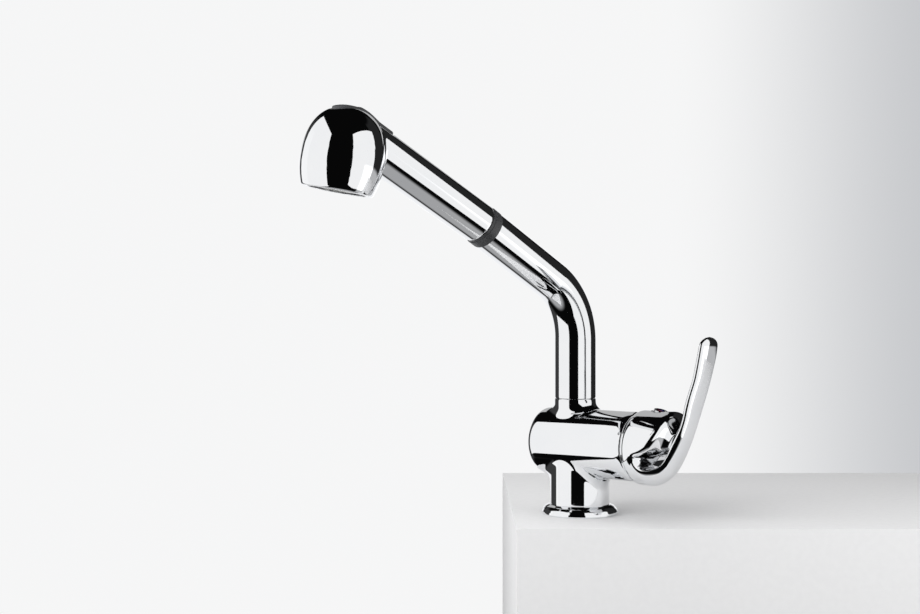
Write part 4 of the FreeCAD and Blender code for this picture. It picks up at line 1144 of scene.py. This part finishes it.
def makeStage():
    w = worktop
    form = bmesh.new()
    turn = Matrix.Rotation(math.radians(view["turn"]), 4, "Z")
    outer = [(w["left"], w["front"]), (w["right"], w["front"]),
             (w["right"], w["back"]), (w["left"], w["back"])]
    count = 64
    for z, flip in ((0.0, False), (-w["thick"], True)):
        ring = [form.verts.new((w["hole"] * math.cos(2 * math.pi * k / count),
                                w["hole"] * math.sin(2 * math.pi * k / count), z)) for k in range(count)]
        edge = []
        for k in range(count):
            angle = 2 * math.pi * k / count
            c, s = math.cos(angle), math.sin(angle)
            reach = min((w["right"] if c > 0 else -w["left"]) / max(abs(c), 1e-9),
                        (w["back"] if s > 0 else -w["front"]) / max(abs(s), 1e-9))
            edge.append(form.verts.new((reach * c, reach * s, z)))
        for k in range(count):
            n = (k + 1) % count
            face = (ring[k], edge[k], edge[n], ring[n])
            form.faces.new(face[::-1] if flip else face)
        for x, y in outer:
            k = int(math.atan2(y, x) / (2 * math.pi) * count % count)
            corner = form.verts.new((x, y, z))
            form.faces.new((edge[k], corner, edge[(k + 1) % count]))
        if z == 0.0:
            topRing = ring
        else:
            for k in range(count):
                n = (k + 1) % count
                form.faces.new((topRing[k], topRing[n], ring[n], ring[k]))
    corners = [[form.verts.new((x, y, z)) for x, y in outer] for z in (0.0, -w["apron"])]
    for k in range(4):
        n = (k + 1) % 4
        form.faces.new((corners[0][k], corners[1][k], corners[1][n], corners[0][n]))
    bmesh.ops.remove_doubles(form, verts=form.verts, dist=1e-6)
    bmesh.ops.recalc_face_normals(form, faces=form.faces)
    form.transform(turn)
    mesh = bpy.data.meshes.new("worktop")
    form.to_mesh(mesh)
    form.free()
    table = newObject("worktop", mesh)

    def paintTop(shop):
        grain = shop.noise(shop.place(), 240.0, 4.0)
        tint = shop.mix(shop.soft(grain, 0.3, 0.7), (0.80, 0.80, 0.805), (0.785, 0.785, 0.79))
        return {"Base Color": tint, "Roughness": shop.soft(grain, 0.3, 0.7, 0.5, 0.6)}

    mesh.materials.append(material("paleWorktop", paintTop))


makeStage()


# studio: soft white panels between dark ones, all round the object at a distance

worldPatches = dict(  # azimuth and height, each from, to and edge; then the light's level
    table=((72, 150, 4), (-55, -9, 2), 0.5), grey=((-152, -100, 2), (-40, 30, 6), 0.045),
    dim=((96, 145, 2), (-40, 45, 4), 0.017))
panels = dict(  # two spots to the right of and nearer than the tap, then height from, to and level
    leftPanel=((-0.423, -0.121), (-0.446, 0.571), -0.21, 0.625, 1.0),
    rightPanel=((0.130, 0.614), (0.497, -0.017), -0.21, 0.62, 1.0),
    rearPanel=((-0.16, -0.40), (0.10, -0.40), 0.16, 0.60, 0.5))

def makeStudio():
    world = bpy.data.worlds.new("studio")
    bpy.context.scene.world = world
    world.use_nodes = True
    shop = Shop(world.node_tree)
    x, y, z = shop.split(shop.place(0))
    turn = math.radians(view["turn"])
    side = x * math.cos(turn) + y * math.sin(turn)
    back = x * math.sin(turn) - y * math.cos(turn)
    azimuth = side.maths("ARCTAN2", back) * (180 / math.pi)
    height = z.maths("ARCSINE") * (180 / math.pi)

    def band(value, low, high, edge=1.5):
        return shop.soft(value, low - edge, low + edge) * shop.soft(value, high - edge, high + edge, 1.0, 0.0)

    behind = shop.soft(azimuth.maths("ABSOLUTE"), 149, 152) * band(height, -50, 12, 5)
    level = behind + shop.soft(height, -69, -55, 0.41, 0.0)
    for across, upright, strength in worldPatches.values():
        level = level + band(azimuth, *across) * band(height, *upright) * strength
    level = (level + 0.0025).maths("MINIMUM", 1.0)
    # painted shade: the camera-only backdrop is grey across part of the azimuth range and rises to near white
    # elsewhere, instead of an evenly lit backdrop
    wall = shop.soft(azimuth, 160.5, 172, 0.0, 1.0) + shop.soft(azimuth, -100, 0, 1.0, 0.0)
    wall = wall.maths("MINIMUM", 1.0)
    seen = shop.node("ShaderNodeLightPath")
    light, shadedBackdrop = [shop.node("ShaderNodeBackground", {}, dict(Color=shop.mix(*colours))) for colours in (
        (level, (0.0, 0.0, 0.0), (0.98, 0.985, 1.0)),
        (wall, (0.56, 0.57, 0.59), (0.92, 0.922, 0.925)))]
    mixed = shop.node("ShaderNodeMixShader", {}, [seen, light, shadedBackdrop])
    shop.node("ShaderNodeOutputWorld", {}, dict(Surface=mixed))

    right = Vector((math.cos(turn), math.sin(turn), 0))
    near = Vector((math.sin(turn), -math.cos(turn), 0))

    def panel(name, one, other, low, high, level):  # a soft panel between two spots, facing the tap
        a = right * one[0] + near * one[1]
        b = right * other[0] + near * other[1]
        data = bpy.data.lights.new(name, "AREA")
        data.shape = "RECTANGLE"
        data.size = (b - a).length
        data.size_y = high - low
        data.energy = level * math.pi * data.size * data.size_y
        thing = newObject(name, data)
        middle = (a + b) / 2
        across = (b - a).normalized()
        facing = Vector((across.y, -across.x, 0))
        if facing.dot(middle) > 0:
            facing = -facing
        thing.matrix_world = Matrix((
            (across.x, 0, -facing.x, middle.x), (across.y, 0, -facing.y, middle.y),
            (0, 1, 0, (low + high) / 2), (0, 0, 0, 1)))
        thing.visible_camera = False

    for name, row in panels.items():
        panel(name, *row)

    def lamp(name, spot, size, power):
        data = bpy.data.lights.new(name, "AREA")
        data.size = size
        data.energy = power
        thing = newObject(name, data)
        thing.location = spot
        thing.rotation_euler = (Vector(spot) - Vector((0, 0, 0.08))).to_track_quat("Z", "Y").to_euler()
        thing.visible_glossy = False

    lamp("overhead", (-0.2, -0.1, 1.5), 1.8, 14.0)
    lamp("roomFill", tuple(near * 1.05 - right * 0.95 + Vector((0, 0, 0.75))), 1.5, 28.0)


makeStudio()
print("studio made")

bpy.context.scene.view_settings.view_transform = "Standard"
